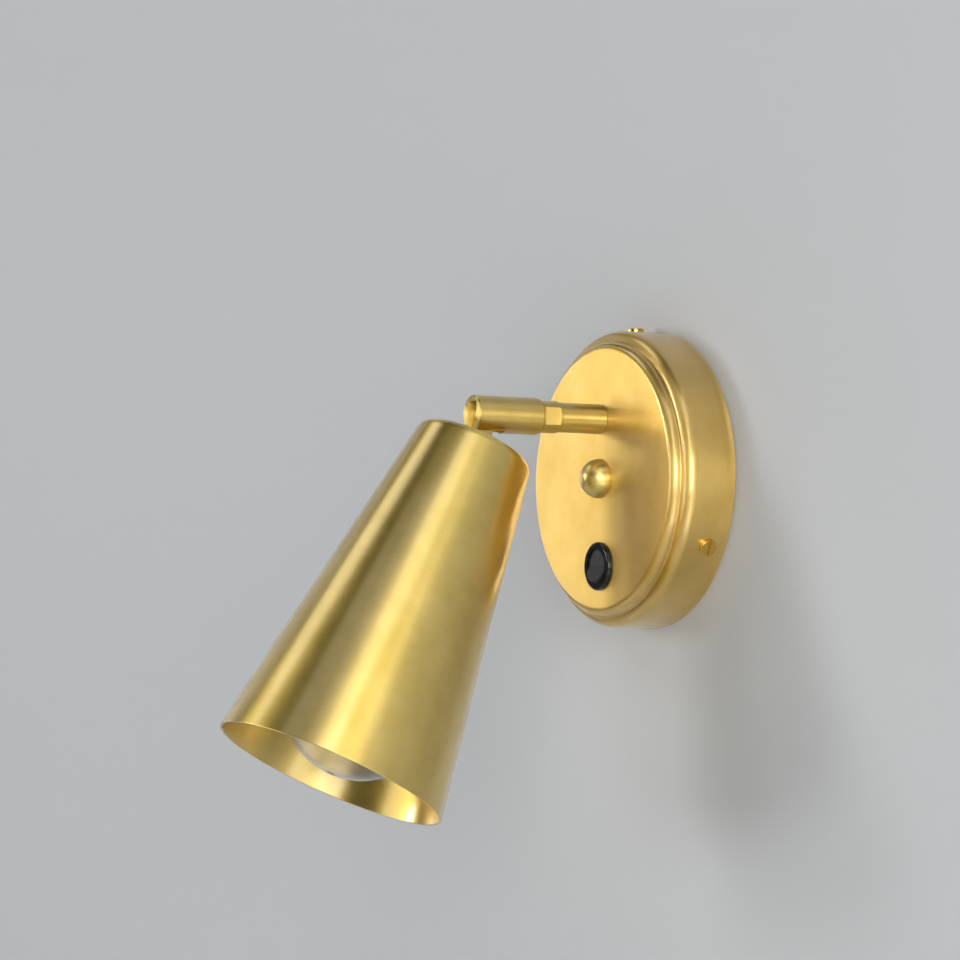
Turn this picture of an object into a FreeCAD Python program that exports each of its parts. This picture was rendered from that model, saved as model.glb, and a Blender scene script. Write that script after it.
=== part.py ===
import FreeCAD, Part
import math
import os

# Bedside wall reading lamp: round rose on the wall, short arm, swivelling and tilting knuckle,
# conical shade with a screw-in bulb. Millimetres and degrees.
#
# The row frame has its origin on the wall plane, in the middle of the rose. The wall is the plane
# Y = 0, the lamp stands out from it towards -Y, +X is to the right as one faces the lamp, +Z is up.
#
# Every piece is first drawn about the Z axis of its own group and then put in place:
#   wall group     height = distance out from the wall, X = row X, Y = row Z
#   arm group      the same, on the arm's axis
#   shade group    height = distance from the tilt pivot, down the shade's axis, -Y faces the wall

Vector = FreeCAD.Vector
X_AXIS = Vector(1, 0, 0)
Y_AXIS = Vector(0, 1, 0)
Z_AXIS = Vector(0, 0, 1)
ORIGIN = Vector(0, 0, 0)

# ---- fits: gaps on the radius, or between faces ----
RUNNING = 0.05         # a part that turns on another
THREAD = 0.02          # a screw in its thread
HOLE = 0.15            # a bolt or nipple through a plain hole
LOOSE = 0.4            # a part that only has to pass inside another
OVERCUT = 1.0          # how far a cutting tool runs past the face it cuts

# ---- rose: the spun cover on the wall ----
ROSE_RADIUS = 60.0
ROSE_WALL = 1.2
ROSE_SIDE = 18.0           # straight side, out from the wall
ROSE_SHOULDER = 4.0        # rounding of the outer shoulder
ROSE_STEP_INSET = 4.6      # from the outside to the foot of the raised face
ROSE_CREASE = 0.5          # rounding in the crease at that foot
ROSE_RAISE = 4.2           # height of the raised face over the shoulder
ROSE_FACE_EDGE = 3.4       # rounding of the raised face's edge

# ---- wall plate ----
PLATE_THICK = 1.5
CABLE_HOLE_RADIUS = 10.0
WALL_SLOT_SPACING = 80.0
WALL_SLOT_WIDTH = 5.0
WALL_SLOT_LENGTH = 12.0
LUG_WIDTH = 12.0
LUG_OVER_SCREW = 4.5       # lug past the side screw's axis
LUG_NUT_THICK = 3.2
LUG_NUT_FLATS = 7.0

# ---- side screws that hold the rose on the plate ----
SIDE_SCREW_COUNT = 3
SIDE_SCREW_FIRST = 91.0    # angle of the upper one
SIDE_SCREW_DEPTH = 8.7     # out from the wall
SIDE_SCREW_RADIUS = 2.0
SIDE_SCREW_LENGTH = 8.0
SIDE_HEAD_RADIUS = 3.5
SIDE_HEAD_THICK = 1.6
SLOT_WIDTH = 1.0
SLOT_DEPTH = 0.9

# ---- M10 x 1 lamp thread and what runs on it ----
NIPPLE_RADIUS = 5.0
NIPPLE_BORE = 3.7
NIPPLE_PAST_NUT = 2.0
WASHER_RADIUS = 9.0
WASHER_THICK = 0.8
NUT_FLATS = 14.0
NUT_THICK = 3.0

# ---- domed nut in the middle of the rose ----
DOME_RADIUS = 8.0
DOME_FOOT = 0.3
DOME_THREAD_DEPTH = 4.5

# ---- switch ----
SWITCH_EDGE_GAP = 6.85     # from the bezel to the edge of the flat face
BEZEL_RADIUS = 9.75
BEZEL_HEIGHT = 2.2
BEZEL_ROUND = 1.0
ROCKER_RADIUS = 7.1        # the rocker is a ball, cut off front and back
ROCKER_BELOW_RIM = 2.0     # its pivot, behind the bezel's rim
ROCKER_GAP = 0.12
ROCKER_VALLEY = 1.4        # face height over the pivot, in the middle
ROCKER_BACK = 3.0
ROCKER_ANGLE = 9.0         # either side of level
TRUNNION_RADIUS = 1.2
TRUNNION_REACH = 7.7
HOUSING_RADIUS = 8.0
HOUSING_WALL = 0.7
HOUSING_DEPTH = 13.0       # behind the face
HOUSING_FLOOR = 1.0
CLIP_REACH = 0.6
CLIP_LENGTH = 1.6
PLUNGER_RADIUS = 1.2
PLUNGER_HEAD_RADIUS = 1.75
PLUNGER_HEAD_THICK = 1.2
PLUNGER_REACH = 7.75       # from the pivot to the tip
SPRING_WIRE = 0.45
SPRING_GAP = 0.1
SEESAW_ANGLE = 5.0
SEESAW_LENGTH = 11.0
SEESAW_WIDTH = 3.2
SEESAW_THICK = 0.5
SEESAW_UNDER_TIP = 0.15
TERMINAL_WIDTH = 4.8
TERMINAL_THICK = 0.8
TERMINAL_TAIL = 6.5
TERMINAL_OFFSET = 4.5
CONTACT_GAP = 0.1

# ---- terminal block ----
BLOCK_FROM_EDGE_X = 31.4   # from the plate's edge to the middle of the block
BLOCK_FROM_EDGE_Y = 34.4
BLOCK_LENGTH = 17.0        # along the wires
BLOCK_HEIGHT = 13.5
POLE_COUNT = 3
POLE_PITCH = 9.0
POLE_HEIGHT = 6.0          # wire holes over the block's foot
INSERT_RADIUS = 2.55
INSERT_BORE = 1.5
INSERT_SHORTER = 1.0       # than the block, at each end
CLAMP_SCREW_RADIUS = 1.25
CLAMP_SCREW_OFFSET = 4.0
CLAMP_HEAD_RADIUS = 1.8
CLAMP_HEAD_THICK = 2.2
BLOCK_SCREW_RADIUS = 1.5
BLOCK_SCREW_HEAD = 2.7
BLOCK_SCREW_HEAD_THICK = 1.8

# ---- earth connection on the plate ----
EARTH_X = -30.0
EARTH_Y = 12.0
EARTH_SCREW_RADIUS = 2.0
EARTH_HEAD_RADIUS = 3.5
EARTH_HEAD_THICK = 2.4
TAG_RADIUS = 4.2
TAG_THICK = 0.8
BARREL_LENGTH = 5.0
BARREL_WALL = 0.6

# ---- arm ----
ARM_HEIGHT = 24.0          # the arm's axis over the middle of the rose
ARM_TUBE_WALL = 0.85
ARM_TUBE_LENGTH = 20.6
ARM_CHAMFER = 0.3
RING_STEP = 0.5            # ring over the tube
RING_LENGTH = 8.4
RING_FLAT_WALL = 0.5       # from the thread to the two spanner flats
RING_RIM = 0.7             # round rim left at each end of the flats
RING_THREAD_DEPTH = 7.0
SPIGOT_RADIUS = 5.5
SPIGOT_LENGTH = 8.2
SPIGOT_BORE = 3.4
GROOVE_CENTRE = 4.1        # from the ring's front face
GROOVE_DEPTH = 1.2
STOP_WIDTH = 1.5           # land that interrupts the groove

# ---- knuckle ----
SWIVEL_GAP = 0.1
KNUCKLE_RADIUS = 7.5
KNUCKLE_LENGTH = 29.6
KNUCKLE_SHOULDER = 1.2     # rounding at the arm's side
KNUCKLE_CHAMFER = 0.4
FORK_WIDTH = 7.0
FORK_DEPTH = 13.0
FORK_CEILING = 5.1         # slot's closed top, over the pivot
PIVOT_FROM_END = 7.6
KNUCKLE_BORE = 3.5
SPRING_WASHER_THICK = 0.4
SPRING_WASHER_HEIGHT = 0.9
SPRING_WASHER_ROOM = 1.0
DOG_RADIUS = 1.0
DOG_GAP = 0.15
GRUB_RADIUS = 1.5
GRUB_SUNK = 0.15
GRUB_SLOT_WIDTH = 0.5
GRUB_SLOT_DEPTH = 0.6

# ---- tilt pivot ----
PIVOT_RADIUS = 2.0
PIVOT_HEAD_RADIUS = 3.2
PIVOT_HEAD_THICK = 1.5
PIVOT_CHEEK = 1.5          # cheek left under the head's washer
PIVOT_WASHER_THICK = 0.4
PIVOT_THREAD_DEPTH = 2.7
TONGUE_GAP = 0.1
TILT_REST = 26.2           # the shade's axis from straight down, away from the wall

# ---- stem of the shade ----
TONGUE_RADIUS = 5.0
NECK_WIDTH = 6.4
NECK_LENGTH = 11.5         # from the pivot to the collar
COLLAR_LIP = 1.0           # collar past the thread
COLLAR_THICK = 2.0
STEM_BORE = 2.3
STEM_THREAD_LENGTH = 14.5
WIRE_GROOVE_WIDTH = 3.8
WIRE_GROOVE_DEPTH = 2.0
WIRE_WINDOW = 8.0          # how far down the neck the groove opens into the bore

# ---- shade ----
SHADE_TOP_RADIUS = 23.6
SHADE_MOUTH_RADIUS = 46.5
SHADE_LENGTH = 144.0
SHADE_WALL = 1.0
SHADE_TOP_ROUND = 4.0

# ---- lampholder ----
HOLDER_GAP = 0.7           # below the shade's lock nut
HOLDER_NECK_RADIUS = 7.5
HOLDER_NECK_LENGTH = 8.0
HOLDER_RADIUS = 19.5
HOLDER_WALL = 1.0
HOLDER_DOME = 8.0          # rounding of the cap
CAP_SKIRT = 8.0            # straight wall of the cap
SKIRT_OVERLAP = 4.0        # skirt inside the cap
SKIRT_LENGTH = 36.0
SKIRT_LIP = 0.8
SKIRT_LIP_LENGTH = 2.0
CORE_THICK = 9.2
FLANGE_THICK = 1.0
FLANGE_BORE = 15.5
SHELL_THICK = 0.4
SHELL_HOLE = 6.0
CONTACT_HEIGHT = 2.0       # centre contact, from the core to the bulb
CONTACT_WIDTH = 4.0
CONTACT_THICK = 0.4
HOLDER_SCREW_OFFSET = 9.5
HOLDER_SCREW_HEAD = 2.5
HOLDER_SCREW_HEAD_THICK = 1.6
HOLDER_SCREW_RADIUS = 1.5
HOLDER_SCREW_DEPTH = 4.0

# ---- bulb: clear, 60 mm wide, 27 mm screw cap ----
BULB_LENGTH = 108.0
BULB_RADIUS = 30.0
BULB_END_ARC = 33.5
BULB_END_ANGLE = 45.0      # where the end arc meets the shoulder arc
BULB_BODY_ARC = 38.0
BULB_NECK_ARC = 40.0
BULB_NECK_RADIUS = 13.4
BULB_GLASS = 0.6
CAP_CREST_RADIUS = 13.2
CAP_THREAD_DEPTH = 0.45    # half the height of the thread's wave
CAP_PITCH = 3.62
CAP_TURNS = 5
CAP_SHEET = 0.3
CAP_FOOT = 1.5             # plain band at each end of the thread
CAP_GAP = 0.15             # cap in the holder's thread
TIP_RADIUS = 4.5
TIP_THICK = 1.2
INSULATOR_THICK = 3.6
INSULATOR_TOP_RADIUS = 11.0
GLASS_IN_CAP = 5.0
MOUNT_FOOT = 1.0
MOUNT_ROD_RADIUS = 3.0
MOUNT_FLARE = 12.0
MOUNT_LENGTH = 30.0
LEAD_RADIUS = 0.4
LEAD_HOLD = 8.0            # length of each lead that lies on the mount
LEAD_SPREAD = 12.0
LEAD_LENGTH = 24.0
FILAMENT_RADIUS = 0.3
FILAMENT_SAG = 3.0

# ---- insulated wires ----
WIRE_RADIUS = 0.9
WIRE_APART = 0.95          # each wire's axis from the middle, where two run side by side
WIRE_END_GAP = 0.1
ARC_SHARE = 0.45           # of the shorter run, taken up by each bend's tangent

# ---- places that follow from the sizes above ----
SHOULDER_TOP = ROSE_SIDE + ROSE_SHOULDER
FACE = SHOULDER_TOP + ROSE_RAISE
FACE_BACK = FACE - ROSE_WALL
FACE_FLAT_RADIUS = ROSE_RADIUS - ROSE_STEP_INSET - ROSE_FACE_EDGE
SWITCH_Y = -(FACE_FLAT_RADIUS - SWITCH_EDGE_GAP - BEZEL_RADIUS)
ROCKER_PIVOT = FACE + BEZEL_HEIGHT - ROCKER_BELOW_RIM
SEESAW_BOTTOM = ROCKER_PIVOT - PLUNGER_REACH - SEESAW_UNDER_TIP - SEESAW_THICK
HOUSING_BACK = FACE - HOUSING_DEPTH

PLATE_RADIUS = ROSE_RADIUS - ROSE_WALL - LOOSE
BLOCK_X = -(PLATE_RADIUS - BLOCK_FROM_EDGE_X)
BLOCK_Y = -(PLATE_RADIUS - BLOCK_FROM_EDGE_Y)
LUG_OUTER = math.sqrt(PLATE_RADIUS ** 2 - (LUG_WIDTH / 2) ** 2)
LUG_INNER = LUG_OUTER - PLATE_THICK

NUT_BACK = FACE_BACK - WASHER_THICK - NUT_THICK
NIPPLE_BACK = NUT_BACK - NIPPLE_PAST_NUT

ARM_TUBE_RADIUS = NIPPLE_RADIUS + HOLE + ARM_TUBE_WALL
RING_RADIUS = ARM_TUBE_RADIUS + RING_STEP
RING_FLATS = 2 * (NIPPLE_RADIUS + RING_FLAT_WALL)
RING_BACK = FACE + ARM_TUBE_LENGTH
RING_FRONT = RING_BACK + RING_LENGTH
SPIGOT_END = RING_FRONT + SPIGOT_LENGTH
GROOVE_HEIGHT = RING_FRONT + GROOVE_CENTRE
KNUCKLE_BACK = RING_FRONT + SWIVEL_GAP
KNUCKLE_END = KNUCKLE_BACK + KNUCKLE_LENGTH
PIVOT_OUT = KNUCKLE_END - PIVOT_FROM_END
FORK_ROOT = KNUCKLE_END - FORK_DEPTH
SWIVEL_BORE_END = SPIGOT_END + SPRING_WASHER_ROOM

COLLAR_RADIUS = NIPPLE_RADIUS + COLLAR_LIP
SHADE_TOP = NECK_LENGTH + COLLAR_THICK
SHADE_MOUTH = SHADE_TOP + SHADE_LENGTH
SHADE_WASHER_TOP = SHADE_TOP + SHADE_WALL
SHADE_NUT_TOP = SHADE_WASHER_TOP + WASHER_THICK
HOLDER_TOP = SHADE_NUT_TOP + NUT_THICK + HOLDER_GAP
HOLDER_NECK_END = HOLDER_TOP + HOLDER_NECK_LENGTH
CAP_RIM = HOLDER_NECK_END - HOLDER_WALL + HOLDER_DOME + CAP_SKIRT
SKIRT_TOP = CAP_RIM - SKIRT_OVERLAP
SKIRT_END = SKIRT_TOP + SKIRT_LENGTH
SKIRT_NECK_RADIUS = HOLDER_RADIUS - HOLDER_WALL - THREAD
CORE_TOP = SKIRT_TOP
CORE_BOTTOM = CORE_TOP + CORE_THICK
BULB_TIP = CORE_BOTTOM + CONTACT_HEIGHT
BULB_END = BULB_TIP + BULB_LENGTH
CAP_TOP = BULB_TIP + TIP_THICK + INSULATOR_THICK
CAP_BOTTOM = CAP_TOP + 2 * CAP_FOOT + CAP_TURNS * CAP_PITCH
CAP_MEAN_RADIUS = CAP_CREST_RADIUS - CAP_THREAD_DEPTH
SHELL_MEAN_RADIUS = CAP_MEAN_RADIUS + CAP_GAP
GLASS_FOOT = CAP_BOTTOM - GLASS_IN_CAP
GLASS_FOOT_RADIUS = CAP_MEAN_RADIUS - CAP_THREAD_DEPTH - CAP_SHEET - RUNNING


# ---- drawing helpers ----

class Outline:
    """A closed outline in the (radius, height) half plane, drawn edge by edge."""

    def __init__(self, radius, height):
        self.start = Vector(radius, 0, height)
        self.here = self.start
        self.edges = []

    def add(self, curve, end):
        self.edges.append(curve.toShape())
        self.here = end
        return self

    def line(self, radius, height):
        end = Vector(radius, 0, height)
        return self.add(Part.LineSegment(self.here, end), end)

    def arc(self, radius, height, centre_radius, centre_height):
        """The shorter arc about a centre."""
        end = Vector(radius, 0, height)
        centre = Vector(centre_radius, 0, centre_height)
        outward = (self.here + end) * 0.5 - centre
        outward.normalize()
        middle = centre + outward * (end - centre).Length
        return self.add(Part.Arc(self.here, middle, end), end)

    def bulge(self, radius, height, depth):
        """An arc that stands out by depth, half way along."""
        end = Vector(radius, 0, height)
        middle = (self.here + end) * 0.5 + Vector(depth, 0, 0)
        return self.add(Part.Arc(self.here, middle, end), end)

    def turned(self):
        """Closes the outline and turns it about the axis."""
        self.line(self.start.x, self.start.z)
        face = Part.Face(Part.Wire(self.edges))
        solid = face.revolve(ORIGIN, Z_AXIS, 360)
        if solid.Volume < 0:
            solid.reverse()
        return solid


def rod(radius, low, high):
    return Part.makeCylinder(radius, high - low, Vector(0, 0, low))


def tube(outer, inner, low, high):
    return rod(outer, low, high).cut(rod(inner, low - OVERCUT, high + OVERCUT))


def box(low, high):
    size = [b - a for a, b in zip(low, high)]
    return Part.makeBox(*size, Vector(*low))


def cross_rod(radius, low, high, height):
    """A rod along X, at a height on the axis."""
    return Part.makeCylinder(radius, high - low, Vector(low, 0, height), X_AXIS)


def hex_bar(flats, low, high):
    corner = flats / math.sqrt(3)
    points = [Vector(corner * math.cos(math.radians(60 * i)),
                     corner * math.sin(math.radians(60 * i)), low) for i in range(7)]
    return Part.Face(Part.makePolygon(points)).extrude(Vector(0, 0, high - low))


def hex_nut(flats, hole, low, high):
    return hex_bar(flats, low, high).cut(rod(hole, low - OVERCUT, high + OVERCUT))


def chamfered_rod(radius, low, high, chamfer):
    """A rod with the same chamfer on both ends."""
    outline = Outline(0, low).line(radius - chamfer, low).line(radius, low + chamfer)
    return outline.line(radius, high - chamfer).line(radius - chamfer, high).line(0, high).turned()


def moved(shape, x, y, z=0.0):
    copy = shape.copy()
    copy.translate(Vector(x, y, z))
    return copy


def turned_about(shape, centre, axis, angle):
    copy = shape.copy()
    copy.rotate(centre, axis, angle)
    return copy


def pipe(name, points, radius):
    """A wire through the points, with an arc at every bend as large as its two runs allow."""
    points = [Vector(*point) for point in points]
    edges = []
    here = points[0]
    bends = []
    for before, corner, after in zip(points, points[1:], points[2:]):
        way_in = (corner - before).normalize()
        way_out = (after - corner).normalize()
        half_turn = way_in.getAngle(way_out) / 2
        reach = ARC_SHARE * min((corner - before).Length, (after - corner).Length)
        bend = reach / math.tan(half_turn)
        inward = (way_out - way_in).normalize()
        centre = corner + inward * (bend / math.cos(half_turn))
        begin = corner - way_in * reach
        end = corner + way_out * reach
        edges.append(Part.LineSegment(here, begin).toShape())
        edges.append(Part.Arc(begin, centre - inward * bend, end).toShape())
        here = end
        bends.append(bend)
    edges.append(Part.LineSegment(here, points[-1]).toShape())
    path = Part.Wire(edges)
    section = Part.Wire(Part.makeCircle(radius, points[0], points[1] - points[0]))
    solid = path.makePipeShell([section], True, False)
    if solid.Volume < 0:
        solid.reverse()
    share = solid.Volume / (math.pi * radius ** 2 * path.Length)
    print(name, "bend radii", [round(bend, 1) for bend in bends], "volume share", round(share, 4))
    return solid


# ---- placing: from a group's own frame to the row frame ----

def on_wall(shape):
    """Height becomes the distance out from the wall."""
    return turned_about(shape, ORIGIN, X_AXIS, 90)


def on_arm(shape):
    return on_wall(moved(shape, 0, ARM_HEIGHT))


def on_shade(shape):
    """Height becomes the distance from the pivot, down the tilted axis of the shade."""
    copy = turned_about(shape, ORIGIN, X_AXIS, 180 - TILT_REST)
    return moved(copy, 0, -PIVOT_OUT, ARM_HEIGHT)


def side_screw_places():
    for i in range(SIDE_SCREW_COUNT):
        yield SIDE_SCREW_FIRST + i * 360.0 / SIDE_SCREW_COUNT


def facing_out(shape, angle, radius, height):
    """Turns a screw drawn along +Z to point out of the rose's side."""
    copy = turned_about(shape, ORIGIN, Y_AXIS, 90)
    copy = moved(copy, radius, 0, height)
    return turned_about(copy, ORIGIN, Z_AXIS, angle)


# ---- rose and wall plate ----

def rose_outline(inset, foot):
    """Half section of the rose, taken in by inset all round."""
    side = ROSE_RADIUS - inset
    shoulder_centre = ROSE_RADIUS - ROSE_SHOULDER
    shoulder_top = SHOULDER_TOP - inset
    step = ROSE_RADIUS - ROSE_STEP_INSET
    crease_centre = SHOULDER_TOP + ROSE_CREASE
    edge_centre = FACE - ROSE_FACE_EDGE
    outline = Outline(0, foot).line(side, foot).line(side, ROSE_SIDE)
    outline.arc(shoulder_centre, shoulder_top, shoulder_centre, ROSE_SIDE)
    outline.line(step + ROSE_CREASE, shoulder_top)
    outline.arc(step - inset, crease_centre, step + ROSE_CREASE, crease_centre)
    outline.line(step - inset, edge_centre)
    outline.arc(FACE_FLAT_RADIUS, FACE - inset, FACE_FLAT_RADIUS, edge_centre)
    return outline.line(0, FACE - inset)


def rose_cover():
    shell = rose_outline(0, 0).turned().cut(rose_outline(ROSE_WALL, -OVERCUT).turned())
    nipple_hole = rod(NIPPLE_RADIUS + HOLE, 0, FACE + OVERCUT)
    switch_hole = rod(HOUSING_RADIUS + HOLE, 0, FACE + OVERCUT)
    cuts = [nipple_hole, moved(nipple_hole, 0, ARM_HEIGHT), moved(switch_hole, 0, SWITCH_Y)]
    screw_hole = rod(SIDE_SCREW_RADIUS + HOLE, -SIDE_SCREW_LENGTH, OVERCUT)
    cuts += [facing_out(screw_hole, angle, ROSE_RADIUS, SIDE_SCREW_DEPTH)
             for angle in side_screw_places()]
    return on_wall(shell.cut(cuts))


def back_plate():
    plate = rod(PLATE_RADIUS, 0, PLATE_THICK)
    lug_top = SIDE_SCREW_DEPTH + LUG_OVER_SCREW
    lug = box((LUG_INNER, -LUG_WIDTH / 2, 0), (LUG_OUTER, LUG_WIDTH / 2, lug_top))
    lugs = [turned_about(lug, ORIGIN, Z_AXIS, angle) for angle in side_screw_places()]
    plate = plate.fuse(lugs).removeSplitter()

    end_centre = (WALL_SLOT_LENGTH - WALL_SLOT_WIDTH) / 2
    slot = box((-end_centre, -WALL_SLOT_WIDTH / 2, -OVERCUT),
               (end_centre, WALL_SLOT_WIDTH / 2, PLATE_THICK + OVERCUT))
    slot_end = rod(WALL_SLOT_WIDTH / 2, -OVERCUT, PLATE_THICK + OVERCUT)
    slot = slot.fuse([moved(slot_end, -end_centre, 0), moved(slot_end, end_centre, 0)])
    cuts = [moved(slot, side * WALL_SLOT_SPACING / 2, 0) for side in (-1, 1)]
    cuts.append(rod(CABLE_HOLE_RADIUS, -OVERCUT, PLATE_THICK + OVERCUT))
    earth_hole = rod(EARTH_SCREW_RADIUS + THREAD, -OVERCUT, PLATE_THICK + OVERCUT)
    cuts.append(moved(earth_hole, EARTH_X, EARTH_Y))
    block_hole = rod(BLOCK_SCREW_RADIUS + THREAD, -OVERCUT, PLATE_THICK + OVERCUT)
    cuts.append(moved(block_hole, BLOCK_X, BLOCK_Y + POLE_PITCH / 2))
    lug_hole = rod(SIDE_SCREW_RADIUS + HOLE, LUG_INNER - OVERCUT, PLATE_RADIUS + OVERCUT)
    cuts += [facing_out(lug_hole, angle, 0, SIDE_SCREW_DEPTH) for angle in side_screw_places()]
    return on_wall(plate.cut(cuts))


def lug_nuts():
    nut = hex_nut(LUG_NUT_FLATS, SIDE_SCREW_RADIUS + THREAD, LUG_INNER - LUG_NUT_THICK, LUG_INNER)
    nuts = [facing_out(nut, angle, 0, SIDE_SCREW_DEPTH) for angle in side_screw_places()]
    return on_wall(Part.makeCompound(nuts))


def slotted(head, width, depth, reach, top):
    """Cuts a driver slot, along Y, into a head's top."""
    return head.cut(box((-width / 2, -reach, top - depth), (width / 2, reach, top + OVERCUT)))


def side_screws():
    head = chamfered_rod(SIDE_HEAD_RADIUS, 0, SIDE_HEAD_THICK, ARM_CHAMFER)
    screw = head.fuse(rod(SIDE_SCREW_RADIUS, -SIDE_SCREW_LENGTH, 0)).removeSplitter()
    screw = slotted(screw, SLOT_WIDTH, SLOT_DEPTH, SIDE_HEAD_RADIUS + OVERCUT, SIDE_HEAD_THICK)
    screws = [facing_out(screw, angle, ROSE_RADIUS, SIDE_SCREW_DEPTH)
              for angle in side_screw_places()]
    return on_wall(Part.makeCompound(screws))


# ---- what sits on the rose's nipple holes: domed nut and arm ----

def inner_washer():
    return tube(WASHER_RADIUS, NIPPLE_RADIUS + HOLE, FACE_BACK - WASHER_THICK, FACE_BACK)


def inner_nut():
    return hex_nut(NUT_FLATS, NIPPLE_RADIUS + THREAD, NUT_BACK, NUT_BACK + NUT_THICK)


def dome_nut():
    centre = FACE + DOME_FOOT
    outline = Outline(0, FACE).line(DOME_RADIUS, FACE).line(DOME_RADIUS, centre)
    dome = outline.arc(0, centre + DOME_RADIUS, 0, centre).turned()
    thread = rod(NIPPLE_RADIUS + THREAD, FACE - OVERCUT, FACE + DOME_THREAD_DEPTH)
    return on_wall(dome.cut(thread))


def dome_stud():
    return on_wall(rod(NIPPLE_RADIUS, NIPPLE_BACK, FACE + DOME_THREAD_DEPTH - HOLE))


def arm_nipple():
    end = RING_BACK + RING_THREAD_DEPTH - HOLE
    return on_arm(tube(NIPPLE_RADIUS, NIPPLE_BORE, NIPPLE_BACK, end))


def arm_tube():
    sleeve = chamfered_rod(ARM_TUBE_RADIUS, FACE, RING_BACK, ARM_CHAMFER)
    return on_arm(sleeve.cut(rod(NIPPLE_RADIUS + HOLE, FACE - OVERCUT, RING_BACK + OVERCUT)))


def swivel_base():
    """Ring with two spanner flats, threaded behind, and the spigot that the knuckle turns on."""
    ring = chamfered_rod(RING_RADIUS, RING_BACK, RING_FRONT, ARM_CHAMFER)
    flat = box((RING_FLATS / 2, -RING_RADIUS, RING_BACK + RING_RIM),
               (RING_RADIUS + OVERCUT, RING_RADIUS, RING_FRONT - RING_RIM))
    ring = ring.cut([flat, turned_about(flat, ORIGIN, Z_AXIS, 180)])
    base = ring.fuse(rod(SPIGOT_RADIUS, RING_FRONT, SPIGOT_END)).removeSplitter()

    groove_half = DOG_RADIUS + RUNNING
    groove = tube(SPIGOT_RADIUS + OVERCUT, SPIGOT_RADIUS - GROOVE_DEPTH,
                  GROOVE_HEIGHT - groove_half, GROOVE_HEIGHT + groove_half)
    stop = box((0, -STOP_WIDTH / 2, RING_FRONT), (KNUCKLE_RADIUS, STOP_WIDTH / 2, SPIGOT_END))
    thread = rod(NIPPLE_RADIUS + THREAD, RING_BACK - OVERCUT, RING_BACK + RING_THREAD_DEPTH)
    bore = rod(SPIGOT_BORE, RING_BACK, SPIGOT_END + OVERCUT)
    return on_arm(base.cut([groove.cut(stop), thread, bore]))


# ---- knuckle ----

def knuckle_body():
    shoulder = KNUCKLE_RADIUS - KNUCKLE_SHOULDER
    outline = Outline(0, KNUCKLE_BACK).line(shoulder, KNUCKLE_BACK)
    outline.arc(KNUCKLE_RADIUS, KNUCKLE_BACK + KNUCKLE_SHOULDER,
                shoulder, KNUCKLE_BACK + KNUCKLE_SHOULDER)
    outline.line(KNUCKLE_RADIUS, KNUCKLE_END - KNUCKLE_CHAMFER)
    outline.line(KNUCKLE_RADIUS - KNUCKLE_CHAMFER, KNUCKLE_END).line(0, KNUCKLE_END)
    body = outline.turned()

    swivel_bore = rod(SPIGOT_RADIUS + RUNNING, KNUCKLE_BACK - OVERCUT, SWIVEL_BORE_END)
    wire_bore = rod(KNUCKLE_BORE, KNUCKLE_BACK, FORK_ROOT + OVERCUT)
    fork = box((-FORK_WIDTH / 2, -KNUCKLE_RADIUS - OVERCUT, FORK_ROOT),
               (FORK_WIDTH / 2, FORK_CEILING, KNUCKLE_END + OVERCUT))
    clear_hole = cross_rod(PIVOT_RADIUS + RUNNING, -KNUCKLE_RADIUS, 0, PIVOT_OUT)
    sink = cross_rod(PIVOT_HEAD_RADIUS + HOLE, -KNUCKLE_RADIUS - OVERCUT,
                     -FORK_WIDTH / 2 - PIVOT_CHEEK, PIVOT_OUT)
    tapped = cross_rod(PIVOT_RADIUS + THREAD, 0, FORK_WIDTH / 2 + PIVOT_THREAD_DEPTH + HOLE,
                       PIVOT_OUT)
    grub_hole = cross_rod(GRUB_RADIUS + THREAD, -KNUCKLE_RADIUS - OVERCUT, 0, GROOVE_HEIGHT)
    return on_arm(body.cut([swivel_bore, wire_bore, fork, clear_hole, sink, tapped, grub_hole]))


def swivel_grub_screw():
    dog_tip = SPIGOT_RADIUS - GROOVE_DEPTH + DOG_GAP
    shank = cross_rod(GRUB_RADIUS, -KNUCKLE_RADIUS + GRUB_SUNK, -SPIGOT_RADIUS - HOLE, GROOVE_HEIGHT)
    dog = cross_rod(DOG_RADIUS, -SPIGOT_RADIUS - HOLE, -dog_tip, GROOVE_HEIGHT)
    slot = box((-KNUCKLE_RADIUS, -GRUB_RADIUS - OVERCUT, GROOVE_HEIGHT - GRUB_SLOT_WIDTH / 2),
               (-KNUCKLE_RADIUS + GRUB_SUNK + GRUB_SLOT_DEPTH, GRUB_RADIUS + OVERCUT,
                GROOVE_HEIGHT + GRUB_SLOT_WIDTH / 2))
    return on_arm(shank.fuse(dog).removeSplitter().cut(slot))


def swivel_spring_washer():
    """Dished washer between the spigot's end and the bottom of its bore."""
    inner = KNUCKLE_BORE + HOLE
    outer = SPIGOT_RADIUS - LOOSE / 2
    low = SPIGOT_END + RUNNING
    rise = SPRING_WASHER_HEIGHT - SPRING_WASHER_THICK
    outline = Outline(inner, low).line(outer, low + rise)
    outline.line(outer, low + SPRING_WASHER_HEIGHT).line(inner, low + SPRING_WASHER_THICK)
    return on_arm(outline.turned())


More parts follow.
